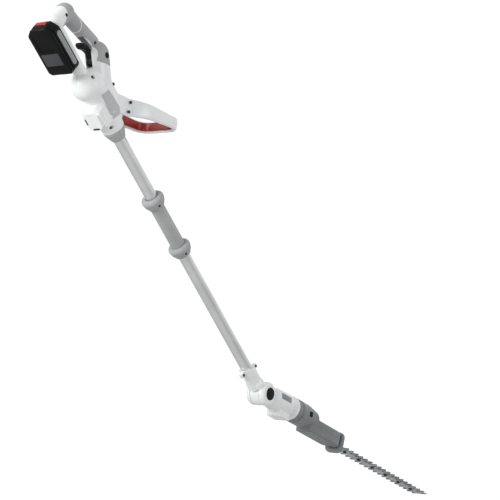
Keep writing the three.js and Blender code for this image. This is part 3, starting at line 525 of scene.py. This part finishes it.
# ---- Rating label ------------------------------------------------------------------------------------------
# A thin blank foil stuck on the right side of the body. It is a grid laid on the casing's curved skin.
silver_foil = plastic("grey_label_foil", ("cfd1d2", "dadbdc"), (0.30, 0.42), 1.2, 0.1, coat=0.3)
# Fine printed rules run along it, with nothing written on them.
RULE_PITCH = 3.1
place = add(silver_foil, "ShaderNodeTexCoord").outputs["Object"]
level = add(silver_foil, "ShaderNodeSeparateXYZ", links={0: place}).outputs["Z"]
steps = add(silver_foil, "ShaderNodeMath", {1: RULE_PITCH * MM}, {0: level}, operation="DIVIDE")
phase = add(silver_foil, "ShaderNodeMath", links={0: steps.outputs[0]}, operation="FRACT")
rule = add(silver_foil, "ShaderNodeMath", {1: 0.66}, {0: phase.outputs[0]}, operation="GREATER_THAN")
foil = silver_foil.node_tree.nodes["Principled BSDF"]
tone = foil.inputs["Base Color"].links[0].from_socket
ink = add(silver_foil, "ShaderNodeMix", {7: linear("6f7173")}, {0: rule.outputs[0], 6: tone},
          data_type="RGBA")
silver_foil.node_tree.links.new(ink.outputs[2], foil.inputs["Base Color"])
LABEL_LIFT = 0.25


def drape(name, corners, columns, rows, lift):
    """A sheet laid on the right side of the casing, between four corners of the side view."""
    a, b, c, d = [Vector(corner) for corner in corners]
    bm = bmesh.new()
    grid = []
    for i in range(columns + 1):
        for j in range(rows + 1):
            s, t = i / columns, j / rows
            point = (a * (1 - s) + b * s) * (1 - t) + (d * (1 - s) + c * s) * t
            hit = casing_skin.ray_cast(Vector((point.x, -200, point.y)), Vector((0, 1, 0)))
            grid.append(bm.verts.new(hit[0] + hit[1] * lift))
    for i in range(columns):
        for j in range(rows):
            k = i * (rows + 1) + j
            bm.faces.new((grid[k], grid[k + rows + 1], grid[k + rows + 2], grid[k + 1]))
    bmesh.ops.recalc_face_normals(bm, faces=bm.faces)
    sheet = solid(name, bm)
    thick = sheet.modifiers.new("thickness", "SOLIDIFY")
    thick.thickness = 0.2
    thick.offset = 0
    return apply_modifiers(sheet)


label = drape("rating_label", [(-118, 14), (-54, 19), (-60, -13), (-120, -8)], 40, 16, LABEL_LIFT)
dress(label, TOOL, silver_foil)
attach(label, "handle")

# ---- Case screws -------------------------------------------------------------------------------------------
# Self-tapping pan heads at the bottom of their recesses, in the right half of the casing.
for i in range(len(SCREW_PLACES)):
    frame["nodes"][f"housing_screw_{i + 1}"].material_slots[0].material = screw_steel
for name in ("loop_screw", "flange_screw", "clamp_screw"):
    for i in (1, 2):
        frame["nodes"][f"{name}_{i}"].material_slots[0].material = screw_steel

# ---- Trigger and lock-off button ---------------------------------------------------------------------------
# A curved nylon lever hung from its front end, and a round button on the right side that frees it.
px, pz = TRIGGER_PIVOT


def bend(start, control, end, steps=10):
    """Points of a smooth bend from start to end, pulled towards control, without its first point."""
    points = []
    for i in range(1, steps + 1):
        t = i / steps
        points.append(tuple(
            (1 - t) ** 2 * s + 2 * t * (1 - t) * c + t ** 2 * e for s, c, e in zip(start, control, end)
        ))
    return points


lever_edge = [(px + 4, pz + 3), (px + 4, pz - 17), (px - 5, pz - 17)]
lever_edge += bend((px - 5, pz - 17), (px - 8, pz - 7), (px - 20, pz - 6))
lever_edge += bend((px - 20, pz - 6), (px - 34, pz - 7), (px - 43, pz - 18))
lever_edge += [(px - 51, pz - 20)]
lever_edge += bend((px - 51, pz - 20), (px - 57, pz - 18), (px - 56, pz - 13))
lever_edge += bend((px - 56, pz - 13), (px - 43, pz + 1), (px - 24, pz + 2))
lever = soften(solid("trigger_lever", prism(lever_edge, -7.5, 7.5, "Y")), 2.4, 4, 40)
dress(lever, TOOL, black_nylon)
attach(lever, "trigger")
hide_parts("trigger")

button = solid("lock_off_cap", lathe(
    [(-26, 0), (-26, 4.9), (-25.4, 6), (-24.2, LOCK_OFF_R), (-13, LOCK_OFF_R), (-13, 0)], 48,
    Matrix.Translation((LOCK_OFF[0], 0, LOCK_OFF[1])) @ Matrix.Rotation(math.radians(90), 4, "Z")))
dress(button, TOOL, black_nylon)
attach(button, "lock_off_button")
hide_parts("lock_off_button")

# ---- Front collar ------------------------------------------------------------------------------------------
# A grey ring that closes the casing round the pole, turned in outline, with a flat lip at its rear.
collar = solid("pole_collar_ring", lathe([
    (-26, 14.3), (-26, 24.2), (-25.2, 25), (-21.5, 25), (-20.8, 24.4), (-12, 21), (-1, 16.6), (-0.2, 15.8),
    (-0.2, 14.3), (-26, 14.3),
]))
dress(collar, TOOL, grey_tpe)
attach(collar, "handle")
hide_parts("pole_collar")

# ---- Loop handle -------------------------------------------------------------------------------------------
# A D-shaped ABS band that leans forward over the pole, broad where its arms are screwed to the body, with a
# red lining inside. Both are one section swept along the D's outline.
LOOP_REACH, LOOP_HALF, LOOP_FOOT_HALF = 160, 60, 34
BAND_ROOT, BAND_END, TAPER_END = 42, 27, 112
LOOP = TOOL @ LEAN


def loop_path():
    """Half of the D, from one foot to the middle of the crossbar, then its mirror image."""
    corner = 34
    root, foot = (-46, -27.5), (0, -LOOP_FOOT_HALF)
    side = [root] + bend(root, (-24, -LOOP_FOOT_HALF), foot, 10)
    side += bend(foot, (30, -LOOP_HALF), (62, -LOOP_HALF), 16)
    side += [(62 + (LOOP_REACH - corner - 62) * i / 8, -LOOP_HALF) for i in range(1, 8)]
    for i in range(19):
        t = math.radians(-90 + 90 * i / 18)
        side.append((LOOP_REACH - corner + corner * math.cos(t), -LOOP_HALF + corner + corner * math.sin(t)))
    side += [(LOOP_REACH, (-LOOP_HALF + corner) * (1 - i / 8)) for i in range(1, 9)]
    return side + [(x, -y) for x, y in reversed(side[:-1])]


AROUND = 24


def sweep_band(name, inset, thick, root, end, first, crown):
    """A band along the D, inset from its outline, from the given distance in front of its feet."""
    path = [Vector((x, y)) for x, y in loop_path()]
    bm = bmesh.new()
    sections = []
    for k, point in enumerate(path):
        if point.x < first:
            continue
        along = (path[min(k + 1, len(path) - 1)] - path[max(k - 1, 0)]).normalized()
        outward = Vector((along.y, -along.x))
        taper = min((point.x + 30) / (TAPER_END + 30), 1)
        ease = math.sqrt(min(1, (point.x - first + 0.6) / 7))
        width = (root + (end - root) * taper) * (0.86 + 0.14 * ease)
        ring = []
        for i in range(AROUND):
            t = 2 * math.pi * i / AROUND
            # A rounded rectangle: a superellipse of the band's width and thickness.
            u = math.copysign(abs(math.cos(t)) ** 0.35, math.cos(t)) * width / 2
            w = math.copysign(abs(math.sin(t)) ** 0.55, math.sin(t)) * thick / 2
            w = w * ease if w > 0 else w
            depth = -inset - thick / 2 + w - crown * (2 * u / width) ** 2 * (w > 0)
            spot = point + outward * depth
            ring.append(bm.verts.new((spot.x, spot.y, u)))
        sections.append(ring)
    for a, b in zip(sections, sections[1:]):
        for i in range(AROUND):
            j = (i + 1) % AROUND
            bm.faces.new((a[i], a[j], b[j], b[i]))
    bm.faces.new(sections[0])
    bm.faces.new(sections[-1])
    bmesh.ops.recalc_face_normals(bm, faces=bm.faces)
    return solid(name, bm)


band = sweep_band("loop_band", 0, 10, BAND_ROOT, BAND_END, -46, 1.6)
smooth_band = band.modifiers.new("smooth", "SUBSURF")
smooth_band.levels = 1
smooth_band.render_levels = 1
apply_modifiers(band)
LOOP_SCREWS = ((-57, 48), (-46, 29))
for x, z in LOOP_SCREWS:
    spot = Matrix.Rotation(math.radians(LOOP_LEAN), 4, "Y") @ (Vector((x, 0, z)) - LOOP_FOOT)
    hole = Matrix.Translation(spot) @ Matrix.Rotation(math.radians(90), 4, "Z")
    cut(band, lathe([(-80, 0), (-80, 3.8), (-35.8, 3.8), (-35.8, 0)], 32, hole))
dress(band, LOOP, white_abs, 40)
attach(band, "handle")
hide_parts("loop_handle")

lining = sweep_band("loop_lining_strip", 10.2, 3, 30, 19, 22, 0)
dress(lining, LOOP, red_abs, 40)
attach(lining, "handle")
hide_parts("loop_lining")

# ---- Battery -----------------------------------------------------------------------------------------------
# A slide-on pack: a black nylon case over a shallow base, a blank grey plate under it, a grey stripe let into
# each side, and a red catch at the rear that frees it.
BATTERY_HALF = 33
SPLIT = BATTERY_BOTTOM + 9
case = solid("pack_case", prism(chamfered(BATTERY_REAR, BATTERY_FRONT, -BATTERY_HALF, BATTERY_HALF, 7, 14),
                                SPLIT + 0.3, BATTERY_TOP))
soften(case, 2.2, 4)
# A T-slot for the rail, a mouth for the contacts, and the catch's recess.
cut(case, block(BATTERY_REAR + 10, 0, -14.6, 14.6, RAIL_TOP - 2, 0))
cut(case, block(BATTERY_REAR + 10, 0, -19.6, 19.6, RAIL_TOP - 5.6, RAIL_TOP + 0.6))
cut(case, block(BATTERY_FRONT - 6, 0, -14, 14, RAIL_TOP - 14, RAIL_TOP))
cut(case, block(BATTERY_REAR - 10, BATTERY_REAR + 10, -15.5, 15.5, -40.5, -30.5))
STRIPE = ((BATTERY_REAR + BATTERY_FRONT) / 2 + 4, (BATTERY_TOP + SPLIT) / 2 + 0.5)
for side in (-1, 1):
    bed = prism(rounded(STRIPE[0] - 41.4, STRIPE[0] + 41.4, STRIPE[1] - 6.8, STRIPE[1] + 6.8, 6.7),
                side * 31.8, side * 60, "Y")
    cut(case, bed)
dress(case, TOOL, black_nylon)
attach(case, "battery")
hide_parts("battery_case")

tray = solid("pack_tray", prism(chamfered(BATTERY_REAR, BATTERY_FRONT, -BATTERY_HALF, BATTERY_HALF, 7, 14),
                                BATTERY_BOTTOM, SPLIT))
soften(tray, 4.2, 5)
cut(tray, prism(rounded(-262, -232, -21, 26, 2), BATTERY_BOTTOM - 5, BATTERY_BOTTOM + 0.8))
cut(tray, prism(rounded(-308, -268, -21, 21, 5), BATTERY_BOTTOM - 5, BATTERY_BOTTOM + 0.7))
dress(tray, TOOL, black_nylon)
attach(tray, "battery")
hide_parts("battery_base")

grey_plate = plastic("dark_grey_label_foil", ("36373a", "434447"), (0.35, 0.5), 1.2, 0.15)
plate = soften(solid("pack_plate", prism(rounded(-261.6, -232.4, -20.6, 25.6, 1.8),
                                         BATTERY_BOTTOM + 0.3, BATTERY_BOTTOM + 0.9)), 0.15, 2)
dress(plate, TOOL, grey_plate)
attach(plate, "battery")

# Silver-grey painted trim with a satin coat.
stripe_paint = plastic("silver_grey_painted_trim", ("7f8284", "94979a"), (0.32, 0.45), 1.2, 0.1, coat=0.3)
for side, name in ((1, "left"), (-1, "right")):
    edge = rounded(STRIPE[0] - 41, STRIPE[0] + 41, STRIPE[1] - 6.4, STRIPE[1] + 6.4, 6.3)
    stripe = solid(f"pack_stripe_{name}", prism(edge, side * 32.1, side * 33.2, "Y"))
    soften(stripe, 0.35, 2)
    dress(stripe, TOOL, stripe_paint)
    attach(stripe, "battery")
    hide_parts(f"battery_stripe_{name}")

catch = soften(solid("pack_catch", block(BATTERY_REAR - 2.5, BATTERY_REAR + 6, -15, 15, -40, -31)), 1.2, 3)
dress(catch, TOOL, red_abs)
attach(catch, "battery_release")
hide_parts("battery_release")
frame["nodes"]["terminal_block"].material_slots[0].material = black_nylon

# ---- Pole --------------------------------------------------------------------------------------------------
# Two drawn aluminium tubes, satin anodised, that meet inside a grey grip sleeve between two barrel flanges.
anodised = steel("satin_anodised_aluminium", ("e2e3e4", "ededee"), (0.34, 0.44), (30, 2600, 2600), 0.35)
POLE_R, TUBE_WALL = 14, 1.6
COUPLING_START, COUPLING_END = 157, 337
MIDDLE = (COUPLING_START + COUPLING_END) / 2
POLE_END = COUPLING_END + 366


def tube(name, x0, x1):
    inner = POLE_R - TUBE_WALL
    return solid(name, lathe([(x0, inner), (x0, POLE_R), (x1, POLE_R), (x1, inner), (x0, inner)], 128))


upper = tube("pole_upper", -92, MIDDLE - 0.3)
dress(upper, TOOL, anodised)
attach(upper, "handle")
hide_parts("upper_tube")
lower = tube("pole_lower", MIDDLE + 0.3, POLE_END + 40)
dress(lower, TOOL, anodised)
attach(lower, "handle")
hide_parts("lower_tube")

FLANGE, FLANGE_R, SLEEVE_R = 37, 26.5, 16.6
# The sleeve starts at the upper flange and ends just inside the lower one.
sleeve_x0, sleeve_x1 = COUPLING_START + FLANGE + 0.3, COUPLING_END - FLANGE + 8.5
sleeve = solid("grip_sleeve", lathe([
    (sleeve_x0, 14.3), (sleeve_x0, SLEEVE_R - 0.6), (sleeve_x0 + 0.8, SLEEVE_R), (sleeve_x1 - 0.8, SLEEVE_R),
    (sleeve_x1, SLEEVE_R - 0.6), (sleeve_x1, 14.3), (sleeve_x0, 14.3)], 128))
dress(sleeve, TOOL, grey_tpe)
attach(sleeve, "handle")
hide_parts("coupling_sleeve")


def flange(name, x0):
    """A thick rounded ring that narrows towards the front, with a small screw recess."""
    profile = [(x0 + 12, 14.4), (x0 + 8.8, 15.4)]
    for i in range(15):
        t = math.radians(200 - 10 * i)
        profile.append((x0 + 17 + 8.8 * math.cos(t), FLANGE_R - 8.2 + 8.2 * math.sin(t)))
    profile += [(x0 + 25.4, FLANGE_R - 1.7), (x0 + 28, FLANGE_R - 2.6), (x0 + 31, FLANGE_R - 4.4),
                (x0 + 34, FLANGE_R - 6.2), (x0 + FLANGE, FLANGE_R - 7.4), (x0 + FLANGE, 14.4),
                (x0 + 12, 14.4)]
    ring = solid(name, lathe(profile, 128))
    hole = Matrix.Translation((x0 + FLANGE * 0.72, 0, 0)) @ Matrix.Rotation(math.radians(120), 4, "X")
    hole = hole @ Matrix.Rotation(math.radians(-90), 4, "Y")
    return cut(ring, lathe([(22, 0), (22, 3.1), (40, 3.1), (40, 0)], 32, hole))


for side, start in (("upper", COUPLING_START), ("lower", COUPLING_END - FLANGE)):
    ring = flange(f"flange_ring_{side}", start)
    dress(ring, TOOL, grey_tpe)
    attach(ring, "handle")
    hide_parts(f"{side}_flange")

# ---- Neck and tilting joint --------------------------------------------------------------------------------
# A white ABS socket on the end of the pole, clamped by screws through two lugs, that widens into the joint's
# two round ears. A pin across them carries the head, and a black button in the right ear frees the tilt.
JOINT_X = POLE_END + 98
EAR_R, KNUCKLE_HALF = 29.5, 13
joint = Matrix.Translation((JOINT_X, 0, 0)) @ Matrix.Rotation(math.radians(90), 4, "Z")
ears = lathe([(-28, 0), (-28, 20), (-27, 24.5), (-24, 27.8), (-20, 29.3), (-13, 29.5), (13, 29.3), (20, 28),
              (25, 25.6), (27.4, 22), (28, 17), (28, 0)], 96, joint)
neck = solid(
    "neck_socket",
    lathe([(POLE_END - 4, 0), (POLE_END - 4, 19.4), (POLE_END + 26, 19.6), (POLE_END + 34, 18.8),
           (JOINT_X - 30, 19.2), (JOINT_X - 20, 20), (JOINT_X - 20, 0)]),
    capsule((JOINT_X - 36, 0), (JOINT_X - 12, 0), 25, 18),
    ears,
)
MOUTH = math.radians(28)
mouth = block(-60, 0, -40, 40, -60, 60)
mouth.transform(Matrix.Translation((POLE_END + 11, 0, 0)) @ Matrix.Rotation(MOUTH, 4, "Y"))
cut(melt(neck, 0.9, 6), mouth)
for side in (-1, 1):
    lug_x = POLE_END + 17 + side * 19 * math.tan(MOUTH)
    z0, z1 = (15, 31) if side > 0 else (-31, -15)
    lug = soften(solid("lug", block(lug_x - 6, lug_x + 6, -5, 5, z0, z1)), 1.6, 3)
    carve(neck, lug, "UNION")
    cut(neck, across(lug_x, side * 25.5, 3.8, -30, -5.2))
    cut(neck, across(lug_x, side * 25.5, 1.9, -30, 4.4))
# Room for the knuckle, the button's well, the pin's bore, the cap's seat and the pole's bore.
cut(neck, across(JOINT_X, 0, EAR_R + 4, -KNUCKLE_HALF - 0.3, KNUCKLE_HALF + 0.3, 96))
cut(neck, across(JOINT_X, 0, 15.8, -40, -20, 64))
cut(neck, across(JOINT_X, 0, 6.3, -40, 40, 48))
cut(neck, across(JOINT_X, 0, 20.3, 25, 40, 64))
cut(neck, lathe([(POLE_END - 10, 0), (POLE_END - 10, 14.3), (POLE_END + 46, 14.3),
                 (POLE_END + 46, 0)]))
dress(neck, TOOL, white_abs)
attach(neck, "handle")
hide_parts("neck_bracket")

cap = solid("joint_cover", lathe(
    [(25.3, 0), (25.3, 19.8), (27.6, 19.8), (28.8, 18.6), (29.4, 15), (29.5, 0)], 96, joint))
dress(cap, TOOL, white_abs)
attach(cap, "handle")
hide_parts("joint_cap")

knob = solid("tilt_knob", lathe([
    (-31, 0), (-31, 5), (-30.4, 5.6), (-30.4, 11.5), (-31, 12.2), (-31, 13.8), (-30.4, 14.9), (-29, 15.5),
    (-26, 15.5), (-26, 0)], 96, joint))
dress(knob, TOOL, black_nylon)
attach(knob, "tilt_lock_button")
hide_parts("tilt_lock_button")
frame["nodes"]["joint_pin"].material_slots[0].material = plain_steel

# ---- Motor housing -----------------------------------------------------------------------------------------
# Two white ABS halves round the motor, with a knuckle that turns in the joint and a square belly below. A
# ring closes them at the front, where the gear head turns.
head_joint = next(j for j in frame["joints"] if j["name"] == "gear_head_turn")
head_at = Vector(head_joint["pos_m"])
head_axis = Vector(head_joint["axis"])
head_pitch = math.atan2(head_axis.z, head_axis.x)
HEAD = Matrix.Translation(head_at) @ Matrix.Rotation(-head_pitch, 4, "Y") @ Matrix.Scale(MM, 4)
RISE = 4.5
MOTOR_FRONT, MOTOR_R = 129, 30
RING_FRONT = MOTOR_FRONT + 12
tilt = Matrix.Translation((0, 0, -RISE)) @ Matrix.Rotation(math.radians(90), 4, "Z")


def across_head(radius, y0, y1, steps=64):
    """A round bar across the head, on the tilt axis."""
    return lathe([(y0, 0), (y0, radius), (y1, radius), (y1, 0)], steps, tilt)


shell = solid(
    "motor_shell",
    lathe([(36, 0), (36, 15), (42, 22.5), (50, 26.8), (60, 28.8), (84, 29.7), (MOTOR_FRONT + 4, MOTOR_R),
           (MOTOR_FRONT + 4, 0)]),
    prism(rounded(70, 120, -39, 10, 6), -19.6, 19.6, "Y"),
    prism(rounded(73, 117, -40, 10, 6), -17, 17, "Y"),
)
melt(shell, 0.8, 3)
# Three fine grooves run round its front, and its rear leaves room for the joint's ears.
for groove_x in (114, 119.5, 125):
    cut(shell, lathe([(groove_x, 29), (groove_x, 40), (groove_x + 1.1, 40),
                      (groove_x + 1.1, 29), (groove_x, 29)]))
cut(shell, block(MOTOR_FRONT - 0.3, 200, -60, 60, -60, 60))
for low, high in ((-80, -KNUCKLE_HALF), (KNUCKLE_HALF, 80)):
    cut(shell, across_head(31.8, low, high, 96))
KNUCKLE_SIDE = KNUCKLE_HALF - 0.3
knuckle = solid("knuckle", across_head(29, -KNUCKLE_SIDE, KNUCKLE_SIDE, 96),
                block(0, 52, -KNUCKLE_SIDE, KNUCKLE_SIDE, -20, 20))
knuckle = melt(knuckle, 0.8, 3)
cut(knuckle, block(-100, 200, KNUCKLE_SIDE, 60, -90, 90))
carve(shell, knuckle, "UNION")
cut(shell, across_head(6.3, -60, 60))
# The badge leans with the shell's taper, about its front end.
BADGE_FRONT = Matrix.Translation((98, 0, 0))
badge_lean = BADGE_FRONT @ Matrix.Rotation(math.radians(-2.3), 4, "Z") @ BADGE_FRONT.inverted()
badge_bed = prism(rounded(56, 100, 1, 16, 3), -60, -27.6, "Y")
badge_bed.transform(badge_lean)
cut(shell, badge_bed)
for name, low, high in (("left", SEAM, 90), ("right", -90, -SEAM)):
    half_shell = cut(copy_of(shell, f"motor_cover_{name}"), block(-100, 200, low, high, -90, 90), "INTERSECT")
    dress(half_shell, HEAD, white_abs)
    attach(half_shell, "head")
    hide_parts(f"motor_housing_{name}")
bpy.data.objects.remove(shell)

badge_plate = prism(rounded(56.4, 99.6, 1.4, 15.6, 2.7), -28.2, -24.6, "Y")
badge_plate.transform(badge_lean)
badge = soften(solid("motor_badge", badge_plate), 0.3, 2)
dress(badge, HEAD, stripe_paint)
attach(badge, "head")

ring = solid("head_ring", lathe([
    (MOTOR_FRONT, 12), (MOTOR_FRONT, 30), (MOTOR_FRONT + 0.8, 31.2), (MOTOR_FRONT + 2, 31.5),
    (RING_FRONT - 3, 31.5), (RING_FRONT - 1, 31), (RING_FRONT - 0.2, 30), (RING_FRONT - 0.2, 12),
    (MOTOR_FRONT, 12)], 128))
dress(ring, HEAD, white_abs)
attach(ring, "head")
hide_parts("front_ring")

# ---- Gear case ---------------------------------------------------------------------------------------------
# Two dark grey nylon halves: a round collar that turns on the motor's ring, a shoulder, and a flat box that
# holds the crank gear and leads the blades out. The square lock button is on its right.
CASE_REAR = RING_FRONT + 0.3
CASE_SPLIT = -15.5
gear = solid(
    "gear_cover",
    lathe([(CASE_REAR - 6, 0), (CASE_REAR - 6, 31.2), (CASE_REAR + 20, 31.5), (206, 31), (226, 28.5),
           (246, 26), (258, 19), (272, 9), (272, 0)]),
    prism(rounded(214, 372, -26, 26, 16), -35, 0.5),
    prism(rounded(220, 366, -22, 22, 13), -36, 3),
    capsule((246, 0), (330, -1), 15, 10),
)
melt(gear, 0.95, 7)
cut(gear, block(0, CASE_REAR, -90, 90, -90, 90))
# Two grooves run round the collar, and the blades leave through a slot at the front.
GROOVE_FLOOR, GROOVE_WIDTH = 31.4 - 1.2, 1.6
for groove_x in (CASE_REAR + 14, CASE_REAR + 19):
    groove_end = groove_x + GROOVE_WIDTH
    cut(gear, lathe([(groove_x, GROOVE_FLOOR), (groove_x, 40), (groove_end, 40),
                     (groove_end, GROOVE_FLOOR), (groove_x, GROOVE_FLOOR)]))
LOCK = (196, 2.5)
well = prism(rounded(LOCK[0] - 7, LOCK[0] + 7, LOCK[1] - 7, LOCK[1] + 7, 3), -60, -18, "Y")
cut(gear, well)
BLADE_PLANE = -28.5
cut(gear, block(308, 400, -16, 16, BLADE_PLANE - 3.2, BLADE_PLANE + 6.4))
for name, low, high in (("upper", CASE_SPLIT + SEAM, 90), ("lower", -90, CASE_SPLIT - SEAM)):
    part = cut(copy_of(gear, f"gear_cover_{name}"), block(0, 500, -90, 90, low, high), "INTERSECT")
    dress(part, HEAD, gear_nylon)
    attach(part, "gear_head")
    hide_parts(f"gear_case_{name}")
bpy.data.objects.remove(gear)

lock = soften(solid("turn_lock_key", prism(
    rounded(LOCK[0] - 6.5, LOCK[0] + 6.5, LOCK[1] - 6.5, LOCK[1] + 6.5, 3), -32.5, -21.5, "Y")), 1.2, 3)
dress(lock, HEAD, black_nylon)
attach(lock, "rotation_lock_button")
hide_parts("rotation_lock_button")
for name in ("drive_pinion", "crank_gear", "crank_shaft", "guide_bar"):
    frame["nodes"][name].material_slots[0].material = plain_steel

# ---- Blade guard -------------------------------------------------------------------------------------------
# A thick rounded plate across the root of the blades that keeps hands and twigs off the gear case.
GUARD_X = 376
to_cross = Matrix(((0, 0, 1, 0), (1, 0, 0, 0), (0, 1, 0, 0), (0, 0, 0, 1)))
guard_bm = prism(rounded(-25, 25, -48, 7, 14), GUARD_X, GUARD_X + 14)
guard_bm.transform(to_cross)
bmesh.ops.recalc_face_normals(guard_bm, faces=guard_bm.faces)
guard = soften(solid("guard_plate", guard_bm), 3.5, 5)
cut(guard, block(GUARD_X - 5, GUARD_X + 30, -16, 16, BLADE_PLANE - 3.2, BLADE_PLANE + 6.4))
dress(guard, HEAD, gear_nylon)
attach(guard, "gear_head")
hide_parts("blade_guard")

# ---- Blades ------------------------------------------------------------------------------------------------
# Two punched and ground steel blades that slide against each other. One tooth with ground flanks is repeated
# along both edges of a slotted spine.
blade_steel = steel("ground_blade_steel", ("76787b", "a2a4a7"), (0.22, 0.42), (900, 120, 900), 0.5)
TOOTH_START, PITCH, TEETH = 402, 26.9, 18
BLADE_REAR = 318
BLADE_TIP = TOOTH_START + TEETH * PITCH
BOLT_R, STROKE, BOLT_PITCH, BOLTS = 2.6, 8, 79.2, 6


def tooth_shape(z0, z1, flip):
    """One tooth: its cutting face is full size, and the other is smaller, which leaves ground flanks."""
    full = [(4, 9.5), (8.5, 28), (14, 28), (19, 9.5)]
    ground = [(6.2, 9.5), (10, 27), (12.5, 27), (16.8, 9.5)]
    bottom, top = (ground, full) if flip else (full, ground)
    bm = bmesh.new()
    low = [bm.verts.new((x, y, z0)) for x, y in bottom]
    high = [bm.verts.new((x, y, z1)) for x, y in top]
    bm.faces.new(low)
    bm.faces.new(high)
    for i in range(4):
        j = (i + 1) % 4
        bm.faces.new((low[i], low[j], high[j], high[i]))
    bmesh.ops.recalc_face_normals(bm, faces=bm.faces)
    return bm


def rows_along(name):
    """A node tree that sets copies of a part along X, joined to the geometry that comes in."""
    tree = bpy.data.node_groups.new(name, "GeometryNodeTree")
    face = tree.interface
    face.new_socket("Geometry", in_out="INPUT", socket_type="NodeSocketGeometry")
    for label, kind in (("Part", "NodeSocketObject"), ("Count", "NodeSocketInt"),
                        ("Start", "NodeSocketFloat"), ("Pitch", "NodeSocketFloat"),
                        ("Material", "NodeSocketMaterial")):
        face.new_socket(label, in_out="INPUT", socket_type=kind)
    face.new_socket("Geometry", in_out="OUTPUT", socket_type="NodeSocketGeometry")
    nodes, links = tree.nodes, tree.links
    given = nodes.new("NodeGroupInput")
    part = nodes.new("GeometryNodeObjectInfo")
    links.new(given.outputs["Part"], part.inputs["Object"])
    line = nodes.new("GeometryNodeMeshLine")
    start = nodes.new("ShaderNodeCombineXYZ")
    step = nodes.new("ShaderNodeCombineXYZ")
    links.new(given.outputs["Start"], start.inputs["X"])
    links.new(given.outputs["Pitch"], step.inputs["X"])
    links.new(given.outputs["Count"], line.inputs["Count"])
    links.new(start.outputs[0], line.inputs["Start Location"])
    links.new(step.outputs[0], line.inputs["Offset"])
    copies = nodes.new("GeometryNodeInstanceOnPoints")
    links.new(line.outputs["Mesh"], copies.inputs["Points"])
    links.new(part.outputs["Geometry"], copies.inputs["Instance"])
    joined = nodes.new("GeometryNodeJoinGeometry")
    links.new(given.outputs["Geometry"], joined.inputs[0])
    links.new(copies.outputs[0], joined.inputs[0])
    real = nodes.new("GeometryNodeRealizeInstances")
    links.new(joined.outputs[0], real.inputs[0])
    coat = nodes.new("GeometryNodeSetMaterial")
    links.new(real.outputs[0], coat.inputs["Geometry"])
    links.new(given.outputs["Material"], coat.inputs["Material"])
    result = nodes.new("NodeGroupOutput")
    links.new(coat.outputs[0], result.inputs[0])
    return tree


def repeat(piece, tree, **inputs):
    """Runs the node tree on a piece with its named inputs and keeps the result as a plain mesh."""
    modifier = piece.modifiers.new("rows", "NODES")
    modifier.node_group = tree
    sockets = {s.name: s.identifier for s in tree.interface.items_tree if s.in_out == "INPUT"}
    for name, value in inputs.items():
        modifier[sockets[name]] = value
    return apply_modifiers(piece)


rows = rows_along("rows_along")
for name, z0, flip in (("upper", BLADE_PLANE + 0.15, False), ("lower", BLADE_PLANE - 2.15, True)):
    spine_edge = [(BLADE_REAR, -10), (BLADE_TIP + 4, -10), (BLADE_TIP + 8, -25), (BLADE_TIP + 8, 25),
                  (BLADE_TIP + 4, 10), (BLADE_REAR, 10)]
    spine = solid(f"toothed_blade_{name}", prism(spine_edge, z0, z0 + 2))
    reach = BOLT_R + STROKE + 1.4
    for i in range(BOLTS):
        x = TOOTH_START + PITCH * 1.45 + i * BOLT_PITCH
        cut(spine, prism(rounded(x - reach, x + reach, -3.4, 3.4, 3), z0 - 5, z0 + 7))
    pair = tooth_shape(z0, z0 + 2, flip)
    mirrored = tooth_shape(z0, z0 + 2, flip)
    mirrored.transform(Matrix.Scale(-1, 4, (0, 1, 0)))
    bmesh.ops.recalc_face_normals(mirrored, faces=mirrored.faces)
    teeth = solid("teeth", pair, mirrored)
    repeat(spine, rows, Part=teeth, Count=TEETH, Start=float(TOOTH_START), Pitch=PITCH, Material=blade_steel)
    bpy.data.objects.remove(teeth)
    dress(spine, HEAD, blade_steel, 20)
    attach(spine, f"{name}_blade")
    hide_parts(f"{name}_blade")
for i in range(BOLTS):
    frame["nodes"][f"blade_bolt_{i + 1}"].material_slots[0].material = screw_steel

# ---- Inner pieces ------------------------------------------------------------------------------------------
# What the casings hide: motor, cells, switch, board, the spigot in the pole and the cable through it.
motor_paint = steel("dull_motor_steel", ("55575a", "66686b"), (0.4, 0.55), (900, 900, 900), 0.2)
board_mask = plastic("green_solder_mask", ("17452a", "1f5a36"), (0.35, 0.5), 1.0, 0.2)
for name, material in (("motor", motor_paint), ("battery_cells", motor_paint),
                       ("coupling_core", anodised), ("motor_cable", black_nylon),
                       ("trigger_switch", black_nylon), ("control_board", board_mask)):
    frame["nodes"][name].material_slots[0].material = material
